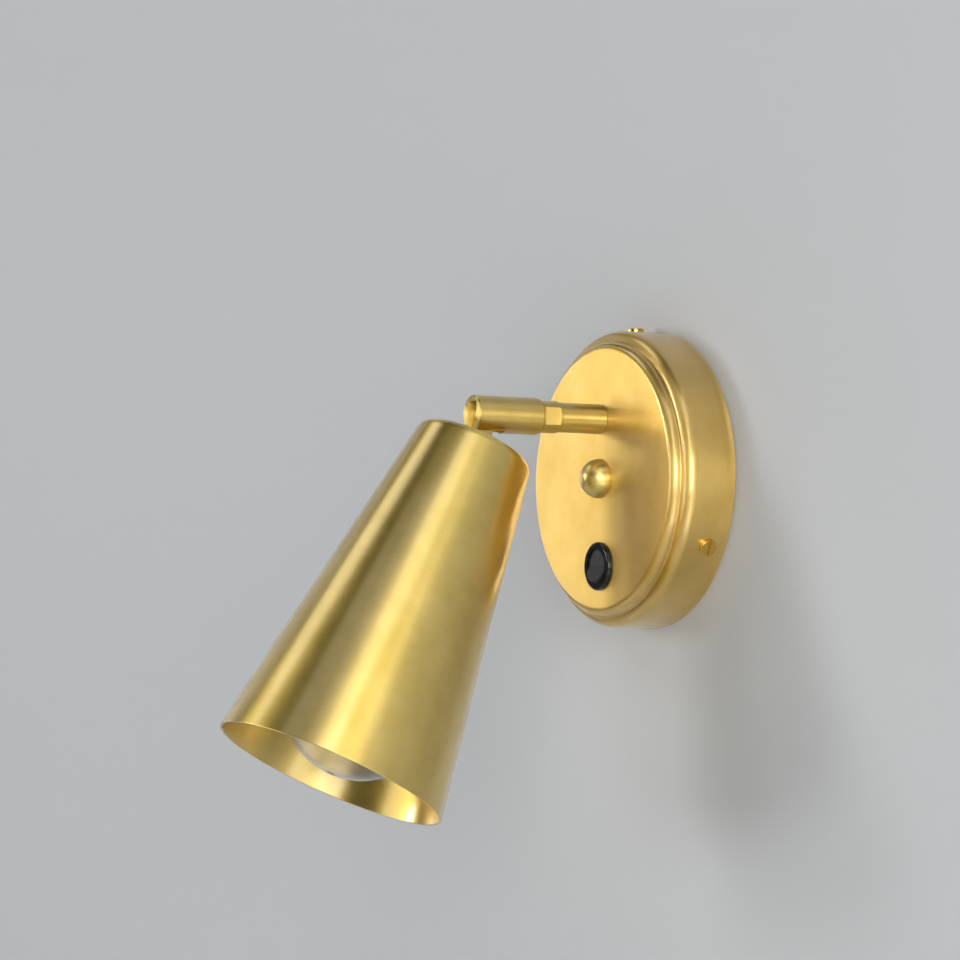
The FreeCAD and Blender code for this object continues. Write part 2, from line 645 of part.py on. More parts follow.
def pivot_screw():
    under_head = -FORK_WIDTH / 2 - PIVOT_CHEEK - PIVOT_WASHER_THICK
    top = under_head - PIVOT_HEAD_THICK
    head = cross_rod(PIVOT_HEAD_RADIUS, top, under_head, PIVOT_OUT)
    shank = cross_rod(PIVOT_RADIUS, under_head, FORK_WIDTH / 2 + PIVOT_THREAD_DEPTH, PIVOT_OUT)
    slot = box((top - OVERCUT, -PIVOT_HEAD_RADIUS - OVERCUT, PIVOT_OUT - SLOT_WIDTH / 2),
               (top + SLOT_DEPTH, PIVOT_HEAD_RADIUS + OVERCUT, PIVOT_OUT + SLOT_WIDTH / 2))
    return on_arm(head.fuse(shank).removeSplitter().cut(slot))


def pivot_spring_washer():
    floor = -FORK_WIDTH / 2 - PIVOT_CHEEK
    disc = cross_rod(PIVOT_HEAD_RADIUS, floor - PIVOT_WASHER_THICK, floor, PIVOT_OUT)
    hole = cross_rod(PIVOT_RADIUS + HOLE, floor - OVERCUT, floor + OVERCUT, PIVOT_OUT)
    return on_arm(disc.cut(hole))


def wire_pair(name, points):
    """The same wire twice, side by side."""
    pair = [pipe(name, [(x + side * WIRE_APART, y, z) for x, y, z in points], WIRE_RADIUS)
            for side in (-1, 1)]
    return Part.makeCompound(pair)


def knuckle_wires():
    low = SPIGOT_END + 2 * WIRE_END_GAP
    wire = rod(WIRE_RADIUS, low, FORK_ROOT - WIRE_END_GAP)
    return on_arm(Part.makeCompound([moved(wire, side * WIRE_APART, 0) for side in (-1, 1)]))


# ---- switch ----

def switch_housing():
    rim = FACE + BEZEL_HEIGHT
    bore = HOUSING_RADIUS - HOUSING_WALL
    socket = ROCKER_RADIUS + ROCKER_GAP
    mouth = math.sqrt(socket ** 2 - ROCKER_BELOW_RIM ** 2)
    outline = Outline(0, HOUSING_BACK).line(HOUSING_RADIUS, HOUSING_BACK)
    outline.line(HOUSING_RADIUS, FACE).line(BEZEL_RADIUS, FACE)
    outline.line(BEZEL_RADIUS, rim - BEZEL_ROUND)
    outline.arc(BEZEL_RADIUS - BEZEL_ROUND, rim, BEZEL_RADIUS - BEZEL_ROUND, rim - BEZEL_ROUND)
    outline.line(mouth, rim).arc(socket, ROCKER_PIVOT, 0, ROCKER_PIVOT)
    outline.line(bore, ROCKER_PIVOT).line(bore, HOUSING_BACK + HOUSING_FLOOR)
    housing = outline.line(0, HOUSING_BACK + HOUSING_FLOOR).turned()

    clip_top = FACE_BACK - RUNNING
    clip = box((HOUSING_RADIUS - HOUSING_WALL, -CLIP_LENGTH, clip_top - CLIP_LENGTH),
               (HOUSING_RADIUS + CLIP_REACH, CLIP_LENGTH, clip_top))
    housing = housing.fuse([clip, turned_about(clip, ORIGIN, Z_AXIS, 180)]).removeSplitter()
    bearing = cross_rod(TRUNNION_RADIUS + RUNNING, -TRUNNION_REACH - RUNNING,
                        TRUNNION_REACH + RUNNING, ROCKER_PIVOT)
    blade = terminal_blade(HOUSING_BACK + HOUSING_FLOOR + OVERCUT, THREAD)
    cuts = [bearing, blade, moved(blade, 0, TERMINAL_OFFSET)]
    return on_wall(moved(housing.cut(cuts), 0, SWITCH_Y))


def terminal_blade(top, grow=0.0):
    half_width = TERMINAL_WIDTH / 2 + grow
    half_thick = TERMINAL_THICK / 2 + grow
    low = HOUSING_BACK - TERMINAL_TAIL
    return box((-half_width, -half_thick, low), (half_width, half_thick, top))


def switch_common_terminal():
    """Blade whose upper edge is the see-saw's fulcrum."""
    blade = terminal_blade(SEESAW_BOTTOM - TERMINAL_THICK / 2)
    fulcrum = cross_rod(TERMINAL_THICK / 2, -TERMINAL_WIDTH / 2, TERMINAL_WIDTH / 2,
                        SEESAW_BOTTOM - TERMINAL_THICK / 2 - RUNNING)
    return on_wall(moved(blade.fuse(fulcrum).removeSplitter(), 0, SWITCH_Y))


def switch_load_terminal():
    drop = TERMINAL_OFFSET * math.sin(math.radians(SEESAW_ANGLE))
    blade = terminal_blade(SEESAW_BOTTOM - drop - CONTACT_GAP)
    return on_wall(moved(blade, 0, SWITCH_Y + TERMINAL_OFFSET))


def rocker_place(shape):
    """Rocks a piece drawn level to its rest: upper half pressed in."""
    rocked = turned_about(shape, Vector(0, 0, ROCKER_PIVOT), X_AXIS, -ROCKER_ANGLE)
    return on_wall(moved(rocked, 0, SWITCH_Y))


def switch_rocker():
    ball = Part.makeSphere(ROCKER_RADIUS, Vector(0, 0, ROCKER_PIVOT))
    reach = ROCKER_RADIUS + OVERCUT
    valley = ROCKER_PIVOT + ROCKER_VALLEY
    rim = valley + reach * math.tan(math.radians(ROCKER_ANGLE))
    top = ROCKER_PIVOT + reach + OVERCUT
    corners = [(-reach, rim), (0, valley), (reach, rim), (reach, top), (-reach, top), (-reach, rim)]
    front = Part.Face(Part.makePolygon([Vector(-reach, y, z) for y, z in corners]))
    front = front.extrude(Vector(2 * reach, 0, 0))
    back = ROCKER_PIVOT - ROCKER_BACK
    behind = box((-reach, -reach, ROCKER_PIVOT - reach), (reach, reach, back))
    pins = cross_rod(TRUNNION_RADIUS, -TRUNNION_REACH, TRUNNION_REACH, ROCKER_PIVOT)
    boss = rod(PLUNGER_HEAD_RADIUS + 2 * SPRING_GAP + HOUSING_WALL, back - OVERCUT, back + OVERCUT)
    socket = rod(PLUNGER_HEAD_RADIUS + SPRING_GAP, back - 2 * OVERCUT, ROCKER_PIVOT)
    rocker = ball.cut([front, behind]).fuse([pins, boss]).removeSplitter().cut(socket)
    return rocker_place(rocker)


def switch_spring():
    """Small coil spring over the plunger, drawn as a sleeve of its outer size."""
    low = ROCKER_PIVOT - ROCKER_BACK + SPRING_GAP
    sleeve = tube(PLUNGER_HEAD_RADIUS, PLUNGER_HEAD_RADIUS - SPRING_WIRE, low,
                  ROCKER_PIVOT - SPRING_GAP)
    return rocker_place(sleeve)


def switch_plunger():
    head_top = ROCKER_PIVOT - ROCKER_BACK
    tip_centre = ROCKER_PIVOT - PLUNGER_REACH + PLUNGER_RADIUS
    head = rod(PLUNGER_HEAD_RADIUS, head_top - PLUNGER_HEAD_THICK, head_top)
    shaft = rod(PLUNGER_RADIUS, tip_centre, head_top)
    tip = Part.makeSphere(PLUNGER_RADIUS, Vector(0, 0, tip_centre))
    return rocker_place(head.fuse([shaft, tip]).removeSplitter())


def switch_contact():
    """See-saw strip on the common terminal, at rest clear of the load terminal."""
    strip = box((-SEESAW_WIDTH / 2, -SEESAW_LENGTH / 2, SEESAW_BOTTOM),
                (SEESAW_WIDTH / 2, SEESAW_LENGTH / 2, SEESAW_BOTTOM + SEESAW_THICK))
    tilted = turned_about(strip, Vector(0, 0, SEESAW_BOTTOM), X_AXIS, SEESAW_ANGLE)
    return on_wall(moved(tilted, 0, SWITCH_Y))


# ---- terminal block and earth ----

def pole_places():
    for i in range(POLE_COUNT):
        yield BLOCK_Y + (i - (POLE_COUNT - 1) / 2) * POLE_PITCH


def clamp_places():
    for y in pole_places():
        for side in (-1, 1):
            yield BLOCK_X + side * CLAMP_SCREW_OFFSET, y


def across_block(radius, half_length, y):
    height = PLATE_THICK + POLE_HEIGHT
    return moved(cross_rod(radius, -half_length, half_length, height), BLOCK_X, y)


def terminal_block():
    half_span = POLE_COUNT * POLE_PITCH / 2
    body = box((BLOCK_X - BLOCK_LENGTH / 2, BLOCK_Y - half_span, PLATE_THICK),
               (BLOCK_X + BLOCK_LENGTH / 2, BLOCK_Y + half_span, PLATE_THICK + BLOCK_HEIGHT))
    top = PLATE_THICK + BLOCK_HEIGHT + OVERCUT
    well = rod(CLAMP_HEAD_RADIUS + HOLE, PLATE_THICK + POLE_HEIGHT, top)
    fixing = rod(BLOCK_SCREW_RADIUS + HOLE, 0, top)
    cuts = [across_block(INSERT_RADIUS + RUNNING, BLOCK_LENGTH, y) for y in pole_places()]
    cuts += [moved(well, x, y) for x, y in clamp_places()]
    cuts.append(moved(fixing, BLOCK_X, BLOCK_Y + POLE_PITCH / 2))
    return on_wall(body.cut(cuts))


def terminal_inserts():
    inserts = []
    for y in pole_places():
        sleeve = across_block(INSERT_RADIUS, BLOCK_LENGTH / 2 - INSERT_SHORTER, y)
        hole = rod(CLAMP_SCREW_RADIUS + THREAD, PLATE_THICK + POLE_HEIGHT,
                   PLATE_THICK + BLOCK_HEIGHT)
        cuts = [across_block(INSERT_BORE, BLOCK_LENGTH, y)]
        cuts += [moved(hole, BLOCK_X + side * CLAMP_SCREW_OFFSET, y) for side in (-1, 1)]
        inserts.append(sleeve.cut(cuts))
    return on_wall(Part.makeCompound(inserts))


def terminal_screws():
    foot = PLATE_THICK + POLE_HEIGHT + WIRE_RADIUS + HOLE
    head_top = PLATE_THICK + BLOCK_HEIGHT - OVERCUT
    shank = rod(CLAMP_SCREW_RADIUS, foot, head_top)
    head = rod(CLAMP_HEAD_RADIUS, head_top - CLAMP_HEAD_THICK, head_top)
    screw = shank.fuse(head).removeSplitter()
    screw = slotted(screw, SLOT_WIDTH / 2, SLOT_DEPTH, CLAMP_HEAD_RADIUS + OVERCUT, head_top)
    return on_wall(Part.makeCompound([moved(screw, x, y) for x, y in clamp_places()]))


def screw_to_plate(radius, head_radius, head_thick, seat):
    """A screw through the plate with its head on a seat."""
    screw = rod(radius, HOLE, seat).fuse(rod(head_radius, seat, seat + head_thick))
    screw = screw.removeSplitter()
    return slotted(screw, SLOT_WIDTH, SLOT_DEPTH, head_radius + OVERCUT, seat + head_thick)


def terminal_fixing_screw():
    screw = screw_to_plate(BLOCK_SCREW_RADIUS, BLOCK_SCREW_HEAD, BLOCK_SCREW_HEAD_THICK,
                           PLATE_THICK + BLOCK_HEIGHT)
    return on_wall(moved(screw, BLOCK_X, BLOCK_Y + POLE_PITCH / 2))


def earth_screw():
    screw = screw_to_plate(EARTH_SCREW_RADIUS, EARTH_HEAD_RADIUS, EARTH_HEAD_THICK,
                           PLATE_THICK + TAG_THICK)
    return on_wall(moved(screw, EARTH_X, EARTH_Y))


def barrel_height():
    return PLATE_THICK + WIRE_RADIUS + RUNNING + BARREL_WALL


def earth_tag():
    """Ring under the earth screw, with a barrel for the wire."""
    ring = rod(TAG_RADIUS, PLATE_THICK, PLATE_THICK + TAG_THICK)
    bore = WIRE_RADIUS + RUNNING
    outer = bore + BARREL_WALL
    start = TAG_RADIUS + BARREL_WALL
    tail = box((0, -outer / 2, PLATE_THICK), (start + BARREL_WALL, outer / 2, PLATE_THICK + TAG_THICK))
    barrel = cross_rod(outer, start, start + BARREL_LENGTH, barrel_height())
    tag = ring.fuse([tail, barrel]).removeSplitter()
    cuts = [rod(EARTH_SCREW_RADIUS + HOLE, 0, PLATE_THICK + OVERCUT),
            cross_rod(bore, start + BARREL_WALL, start + BARREL_LENGTH + OVERCUT, barrel_height())]
    return on_wall(moved(tag.cut(cuts), EARTH_X, EARTH_Y))


# ---- wires in the rose and arm, point by point: (x, height on the rose, out from the wall) ----

def pole_end(y):
    """A wire's end in the block, and the point where it has come straight out."""
    height = PLATE_THICK + POLE_HEIGHT
    edge = BLOCK_X + BLOCK_LENGTH / 2
    return [(BLOCK_X + CLAMP_SCREW_OFFSET / 2, y, height), (edge + 5.0, y, height)]


def terminal_end(side, y):
    """A wire's end beside a switch terminal's tail."""
    edge = TERMINAL_WIDTH / 2 + WIRE_RADIUS + WIRE_END_GAP
    return (side * edge, SWITCH_Y + y, HOUSING_BACK - TERMINAL_TAIL / 2)


def feed_wire():
    first, *_ = pole_places()
    points = pole_end(first) + [terminal_end(-1, 0)]
    return on_wall(pipe("feed_wire", points, WIRE_RADIUS))


def live_wire():
    points = [terminal_end(1, TERMINAL_OFFSET), (12.0, SWITCH_Y + 8.0, 9.5), (12.0, -8.0, 9.0),
              (8.0, 10.0, 9.0), (WIRE_APART, ARM_HEIGHT, 9.0),
              (WIRE_APART, ARM_HEIGHT, SPIGOT_END)]
    return on_wall(pipe("live_wire", points, WIRE_RADIUS))


def neutral_wire():
    _, middle, _ = pole_places()
    block_edge = BLOCK_X + BLOCK_LENGTH / 2
    points = pole_end(middle) + [(block_edge + 10.5, -8.0, 9.0), (-7.0, 10.0, 9.0),
                                 (-WIRE_APART, ARM_HEIGHT, 9.0),
                                 (-WIRE_APART, ARM_HEIGHT, SPIGOT_END)]
    return on_wall(pipe("neutral_wire", points, WIRE_RADIUS))


def earth_wire():
    *_, last = pole_places()
    end = EARTH_X + TAG_RADIUS + 2 * BARREL_WALL + BARREL_LENGTH / 2
    block_edge = BLOCK_X + BLOCK_LENGTH / 2
    points = pole_end(last) + [(block_edge + 6.0, -2.0, 6.0),
                               (block_edge + 5.0, EARTH_Y, barrel_height()),
                               (end, EARTH_Y, barrel_height())]
    return on_wall(pipe("earth_wire", points, WIRE_RADIUS))


# ---- shade and its stem ----

def shade_stem():
    """Tongue, neck, collar and hollow thread in one piece."""
    half_tongue = FORK_WIDTH / 2 - TONGUE_GAP
    tongue = cross_rod(TONGUE_RADIUS, -half_tongue, half_tongue, 0)
    neck = box((-half_tongue, -NECK_WIDTH / 2, 0), (half_tongue, NECK_WIDTH / 2, NECK_LENGTH))
    collar = chamfered_rod(COLLAR_RADIUS, NECK_LENGTH, SHADE_TOP, ARM_CHAMFER)
    thread = rod(NIPPLE_RADIUS, SHADE_TOP, SHADE_TOP + STEM_THREAD_LENGTH)
    stem = tongue.fuse([neck, collar, thread]).removeSplitter()

    half_groove = WIRE_GROOVE_WIDTH / 2
    ring = cross_rod(TONGUE_RADIUS + OVERCUT, -half_groove, half_groove, 0)
    ring = ring.cut(cross_rod(TONGUE_RADIUS - WIRE_GROOVE_DEPTH, -half_groove, half_groove, 0))
    rear = box((-half_groove, -TONGUE_RADIUS - OVERCUT, -TONGUE_RADIUS),
               (half_groove, 0, TONGUE_RADIUS - WIRE_GROOVE_DEPTH / 2))
    window = box((-half_groove, -TONGUE_RADIUS, TONGUE_RADIUS - WIRE_GROOVE_DEPTH / 2),
                 (half_groove, 0, WIRE_WINDOW))
    bore = rod(STEM_BORE, TONGUE_RADIUS, SHADE_TOP + STEM_THREAD_LENGTH + OVERCUT)
    pivot_hole = cross_rod(PIVOT_RADIUS + RUNNING, -KNUCKLE_RADIUS, KNUCKLE_RADIUS, 0)
    return on_shade(stem.cut([ring.common(rear), window, bore, pivot_hole]))


def cone(top_radius, top, mouth, round_radius):
    """The shade's cone between two heights, solid, with its top edge rounded."""
    slope = (SHADE_MOUTH_RADIUS - SHADE_TOP_RADIUS) / SHADE_LENGTH
    body = Part.makeCone(top_radius, top_radius + slope * (mouth - top), mouth - top,
                         Vector(0, 0, top))
    rim = [edge for edge in body.Edges
           if abs(edge.BoundBox.ZMax - top) < THREAD and abs(edge.BoundBox.ZMin - top) < THREAD]
    return body.makeFillet(round_radius, rim)


def shade():
    slope = (SHADE_MOUTH_RADIUS - SHADE_TOP_RADIUS) / SHADE_LENGTH
    across_wall = SHADE_WALL * math.sqrt(1 + slope ** 2)
    inner_top = SHADE_TOP_RADIUS + slope * SHADE_WALL - across_wall
    outer = cone(SHADE_TOP_RADIUS, SHADE_TOP, SHADE_MOUTH, SHADE_TOP_ROUND)
    inner = cone(inner_top, SHADE_TOP + SHADE_WALL, SHADE_MOUTH + OVERCUT,
                 SHADE_TOP_ROUND - SHADE_WALL)
    hole = rod(NIPPLE_RADIUS + HOLE, SHADE_TOP - OVERCUT, SHADE_TOP + SHADE_WALL + OVERCUT)
    return on_shade(outer.cut([inner, hole]))


def shade_washer():
    return on_shade(tube(WASHER_RADIUS, NIPPLE_RADIUS + HOLE, SHADE_WASHER_TOP, SHADE_NUT_TOP))


def shade_lock_nut():
    return on_shade(hex_nut(NUT_FLATS, NIPPLE_RADIUS + THREAD, SHADE_NUT_TOP,
                            SHADE_NUT_TOP + NUT_THICK))


# ---- lampholder ----

def lampholder_cap():
    bore = NIPPLE_RADIUS + THREAD
    dome_centre_radius = HOLDER_RADIUS - HOLDER_DOME
    dome_top = HOLDER_NECK_END - HOLDER_WALL
    dome_centre = dome_top + HOLDER_DOME
    inner = HOLDER_RADIUS - HOLDER_WALL
    outline = Outline(bore, HOLDER_TOP).line(HOLDER_NECK_RADIUS, HOLDER_TOP)
    outline.line(HOLDER_NECK_RADIUS, dome_top).line(dome_centre_radius, dome_top)
    outline.arc(HOLDER_RADIUS, dome_centre, dome_centre_radius, dome_centre)
    outline.line(HOLDER_RADIUS, CAP_RIM).line(inner, CAP_RIM).line(inner, dome_centre)
    outline.arc(dome_centre_radius, HOLDER_NECK_END, dome_centre_radius, dome_centre)
    return on_shade(outline.line(bore, HOLDER_NECK_END).turned())


def lampholder_skirt():
    """Sleeve round the bulb's cap, with the flange that the core sits on."""
    neck_bore = SKIRT_NECK_RADIUS - HOLDER_WALL
    inner = HOLDER_RADIUS - HOLDER_WALL
    shoulder = CAP_RIM + RUNNING
    lip = SKIRT_END - SKIRT_LIP_LENGTH
    flange_end = CORE_BOTTOM + FLANGE_THICK
    outline = Outline(neck_bore, SKIRT_TOP).line(SKIRT_NECK_RADIUS, SKIRT_TOP)
    outline.line(SKIRT_NECK_RADIUS, shoulder).line(HOLDER_RADIUS, shoulder)
    outline.line(HOLDER_RADIUS, lip).line(HOLDER_RADIUS + SKIRT_LIP, lip)
    outline.line(HOLDER_RADIUS + SKIRT_LIP, SKIRT_END).line(inner, SKIRT_END)
    outline.line(inner, flange_end).line(FLANGE_BORE, flange_end)
    outline.line(FLANGE_BORE, CORE_BOTTOM).line(neck_bore, CORE_BOTTOM)
    return on_shade(outline.turned())


def holder_screw_places():
    return [(side * HOLDER_SCREW_OFFSET, 0) for side in (-1, 1)]


def lampholder_core():
    core = rod(SKIRT_NECK_RADIUS - HOLDER_WALL - HOLE, CORE_TOP, CORE_BOTTOM)
    thread = rod(HOLDER_SCREW_RADIUS + THREAD, CORE_TOP - OVERCUT,
                 CORE_TOP + HOLDER_SCREW_DEPTH + HOLE)
    return on_shade(core.cut([moved(thread, x, y) for x, y in holder_screw_places()]))


def lampholder_screws():
    head_top = CORE_TOP - HOLDER_SCREW_HEAD_THICK
    head = rod(HOLDER_SCREW_HEAD, head_top, CORE_TOP)
    slot = box((-SLOT_WIDTH / 2, -HOLDER_SCREW_HEAD - OVERCUT, head_top - OVERCUT),
               (SLOT_WIDTH / 2, HOLDER_SCREW_HEAD + OVERCUT, head_top + SLOT_DEPTH))
    screw = head.fuse(rod(HOLDER_SCREW_RADIUS, CORE_TOP, CORE_TOP + HOLDER_SCREW_DEPTH))
    screw = screw.removeSplitter().cut(slot)
    return on_shade(Part.makeCompound([moved(screw, x, y) for x, y in holder_screw_places()]))


def wave(outline, mean, start, step):
    """Rounded thread rings, drawn from a height onwards, in steps of half a pitch."""
    height = start
    for half in range(2 * CAP_TURNS):
        height += step
        depth = CAP_THREAD_DEPTH if half % 2 == 0 else -CAP_THREAD_DEPTH
        if step < 0:
            depth = -depth
        outline.bulge(mean, height, depth)
    return outline


def lampholder_shell():
    """Screw shell: a thin cup whose rings match the bulb's cap."""
    top = CORE_BOTTOM
    thread_start = CAP_TOP + CAP_FOOT
    thread_end = thread_start + CAP_TURNS * CAP_PITCH
    outer = SHELL_MEAN_RADIUS + SHELL_THICK
    outline = Outline(SHELL_HOLE, top).line(outer, top).line(outer, thread_start)
    wave(outline, outer, thread_start, CAP_PITCH / 2)
    outline.line(SHELL_MEAN_RADIUS, thread_end)
    wave(outline, SHELL_MEAN_RADIUS, thread_end, -CAP_PITCH / 2)
    outline.line(SHELL_MEAN_RADIUS, top + SHELL_THICK).line(SHELL_HOLE, top + SHELL_THICK)
    return on_shade(outline.turned())


def lampholder_contact():
    """Sprung centre contact: a strip bent down to the bulb's tip."""
    reach = math.sqrt(SHELL_HOLE ** 2 - (CONTACT_WIDTH / 2) ** 2) - 2 * HOLE
    low = CORE_BOTTOM + CONTACT_HEIGHT - RUNNING
    section = [(-reach, CORE_BOTTOM), (reach / 2, CORE_BOTTOM), (reach / 2, CORE_BOTTOM + CONTACT_THICK),
               (-reach / 2, CORE_BOTTOM + CONTACT_THICK), (0, low - CONTACT_THICK),
               (reach / 2, low - CONTACT_THICK), (reach / 2, low), (-CONTACT_THICK, low),
               (-reach / 2 - CONTACT_THICK, CORE_BOTTOM + CONTACT_THICK),
               (-reach, CORE_BOTTOM + CONTACT_THICK), (-reach, CORE_BOTTOM)]
    face = Part.Face(Part.makePolygon([Vector(x, -CONTACT_WIDTH / 2, z) for x, z in section]))
    return on_shade(face.extrude(Vector(0, CONTACT_WIDTH, 0)))


def stem_wires():
    """From the tongue's rear groove into the stem's bore and out above the lampholder's core."""
    in_groove = TONGUE_RADIUS - WIRE_RADIUS - WIRE_END_GAP
    points = [(0, -in_groove, -1.0), (0, -in_groove, 3.0), (0, 0, 9.0),
              (0, 0, CORE_TOP - HOLDER_SCREW_HEAD_THICK - WIRE_RADIUS - 2.0)]
    return on_shade(wire_pair("stem_wires", points))


# ---- bulb ----

def glass_outline(inset, top):
    """Half section of the envelope, from the middle of its end round to the neck."""
    end_centre = BULB_END - BULB_END_ARC
    angle = math.radians(BULB_END_ANGLE)
    shoulder_arc = (BULB_RADIUS - BULB_END_ARC * math.sin(angle)) / (1 - math.sin(angle))
    shoulder_radius = BULB_RADIUS - shoulder_arc
    shoulder_centre = end_centre + (BULB_END_ARC - shoulder_arc) * math.cos(angle)
    body_radius = BULB_RADIUS - BULB_BODY_ARC
    neck_centre_radius = BULB_NECK_RADIUS + BULB_NECK_ARC
    both = BULB_BODY_ARC + BULB_NECK_ARC
    across = neck_centre_radius - body_radius
    neck_centre = shoulder_centre - math.sqrt(both ** 2 - across ** 2)
    share = BULB_BODY_ARC / both
    join_radius = body_radius + across * share - inset * across / both
    join_height = (shoulder_centre + (neck_centre - shoulder_centre) * share
                   + inset * (shoulder_centre - neck_centre) / both)
    end = BULB_END_ARC - inset

    outline = Outline(0, BULB_END - inset)
    outline.arc(end * math.sin(angle), end_centre + end * math.cos(angle), 0, end_centre)
    outline.arc(BULB_RADIUS - inset, shoulder_centre, shoulder_radius, shoulder_centre)
    outline.arc(join_radius, join_height, body_radius, shoulder_centre)
    outline.arc(BULB_NECK_RADIUS - inset, neck_centre, neck_centre_radius, neck_centre)
    seat = CAP_BOTTOM + RUNNING + inset
    outline.line(BULB_NECK_RADIUS - inset, seat).line(GLASS_FOOT_RADIUS - inset, seat)
    return outline.line(GLASS_FOOT_RADIUS - inset, top).line(0, top)


def bulb_glass():
    outer = glass_outline(0, GLASS_FOOT).turned()
    inner = glass_outline(BULB_GLASS, GLASS_FOOT - OVERCUT).turned()
    return on_shade(outer.cut(inner))


def bulb_cap():
    thread_start = CAP_TOP + CAP_FOOT
    thread_end = CAP_BOTTOM - CAP_FOOT
    inner = CAP_MEAN_RADIUS - CAP_SHEET
    outline = Outline(INSULATOR_TOP_RADIUS, CAP_TOP).line(CAP_MEAN_RADIUS, thread_start)
    wave(outline, CAP_MEAN_RADIUS, thread_start, CAP_PITCH / 2)
    outline.line(CAP_MEAN_RADIUS, CAP_BOTTOM).line(inner, CAP_BOTTOM).line(inner, thread_end)
    wave(outline, inner, thread_end, -CAP_PITCH / 2)
    return on_shade(outline.line(INSULATOR_TOP_RADIUS - CAP_SHEET, CAP_TOP).turned())


def bulb_insulator():
    top = BULB_TIP + TIP_THICK
    outline = Outline(0, top).line(TIP_RADIUS, top).line(INSULATOR_TOP_RADIUS, CAP_TOP)
    return on_shade(outline.line(0, CAP_TOP).turned())


def bulb_contact():
    foot = BULB_TIP + TIP_THICK
    outline = Outline(0, BULB_TIP).line(TIP_RADIUS / 2, BULB_TIP).line(TIP_RADIUS, foot)
    return on_shade(outline.line(0, foot).turned())


def bulb_mount():
    """Flared glass stem that carries the leads."""
    foot = GLASS_FOOT_RADIUS - BULB_GLASS - RUNNING
    end = GLASS_FOOT + MOUNT_LENGTH
    outline = Outline(0, GLASS_FOOT).line(foot, GLASS_FOOT).line(foot, GLASS_FOOT + MOUNT_FOOT)
    outline.line(MOUNT_ROD_RADIUS, GLASS_FOOT + MOUNT_FLARE).line(MOUNT_ROD_RADIUS, end)
    return on_shade(outline.line(0, end).turned())


def lead_points(side):
    """A lead from beside the mount's rod out to the filament's end."""
    start = GLASS_FOOT + MOUNT_LENGTH - LEAD_HOLD
    beside = side * (MOUNT_ROD_RADIUS + LEAD_RADIUS)
    return [(0, beside, start), (0, beside, start + LEAD_LENGTH / 2),
            (0, side * LEAD_SPREAD, start + LEAD_LENGTH)]


def bulb_leads():
    leads = [pipe("bulb_lead", lead_points(side), LEAD_RADIUS) for side in (-1, 1)]
    return on_shade(Part.makeCompound(leads))


def bulb_filament():
    left = lead_points(-1)[-1]
    right = lead_points(1)[-1]
    height = left[2] + LEAD_RADIUS + FILAMENT_RADIUS
    points = [(0, left[1], height), (0, left[1] / 2, height - FILAMENT_SAG),
              (0, right[1] / 2, height - FILAMENT_SAG), (0, right[1], height)]
    return on_shade(pipe("bulb_filament", points, FILAMENT_RADIUS))


PIECES = {
    "back_plate": back_plate,
    "lug_nuts": lug_nuts,
    "rose_cover": rose_cover,
    "side_screws": side_screws,
    "dome_nut": dome_nut,
    "dome_stud": dome_stud,
    "dome_washer": lambda: on_wall(inner_washer()),
    "dome_lock_nut": lambda: on_wall(inner_nut()),
    "arm_nipple": arm_nipple,
    "arm_washer": lambda: on_arm(inner_washer()),
    "arm_lock_nut": lambda: on_arm(inner_nut()),
    "arm_tube": arm_tube,
    "swivel_base": swivel_base,
    "terminal_block": terminal_block,
    "terminal_inserts": terminal_inserts,
    "terminal_screws": terminal_screws,
    "terminal_fixing_screw": terminal_fixing_screw,
    "earth_screw": earth_screw,
    "earth_tag": earth_tag,
    "earth_wire": earth_wire,
    "feed_wire": feed_wire,
    "live_wire": live_wire,
    "neutral_wire": neutral_wire,
    "switch_housing": switch_housing,
    "switch_common_terminal": switch_common_terminal,
    "switch_load_terminal": switch_load_terminal,
    "switch_rocker": switch_rocker,
    "switch_plunger": switch_plunger,
    "switch_spring": switch_spring,
    "switch_contact": switch_contact,
    "knuckle_body": knuckle_body,
    "swivel_grub_screw": swivel_grub_screw,
    "swivel_spring_washer": swivel_spring_washer,
    "pivot_screw": pivot_screw,
    "pivot_spring_washer": pivot_spring_washer,
    "knuckle_wires": knuckle_wires,
    "shade_stem": shade_stem,
    "shade": shade,
    "shade_washer": shade_washer,
    "shade_lock_nut": shade_lock_nut,
    "lampholder_cap": lampholder_cap,
    "lampholder_core": lampholder_core,
    "lampholder_skirt": lampholder_skirt,
    "lampholder_shell": lampholder_shell,
    "lampholder_contact": lampholder_contact,
    "lampholder_screws": lampholder_screws,
    "stem_wires": stem_wires,
    "bulb_glass": bulb_glass,
    "bulb_cap": bulb_cap,
    "bulb_insulator": bulb_insulator,
    "bulb_contact": bulb_contact,
    "bulb_mount": bulb_mount,
    "bulb_leads": bulb_leads,
    "bulb_filament": bulb_filament,
}

os.makedirs("parts", exist_ok=True)
for node, make in PIECES.items():
    shape = make()
    shape.exportStep(os.path.join("parts", node + ".step"))
    print(node, "solids", len(shape.Solids), "volume", round(shape.Volume, 2), shape.isValid())
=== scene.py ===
import math
import bmesh
import bpy
from mathutils import Matrix, Vector


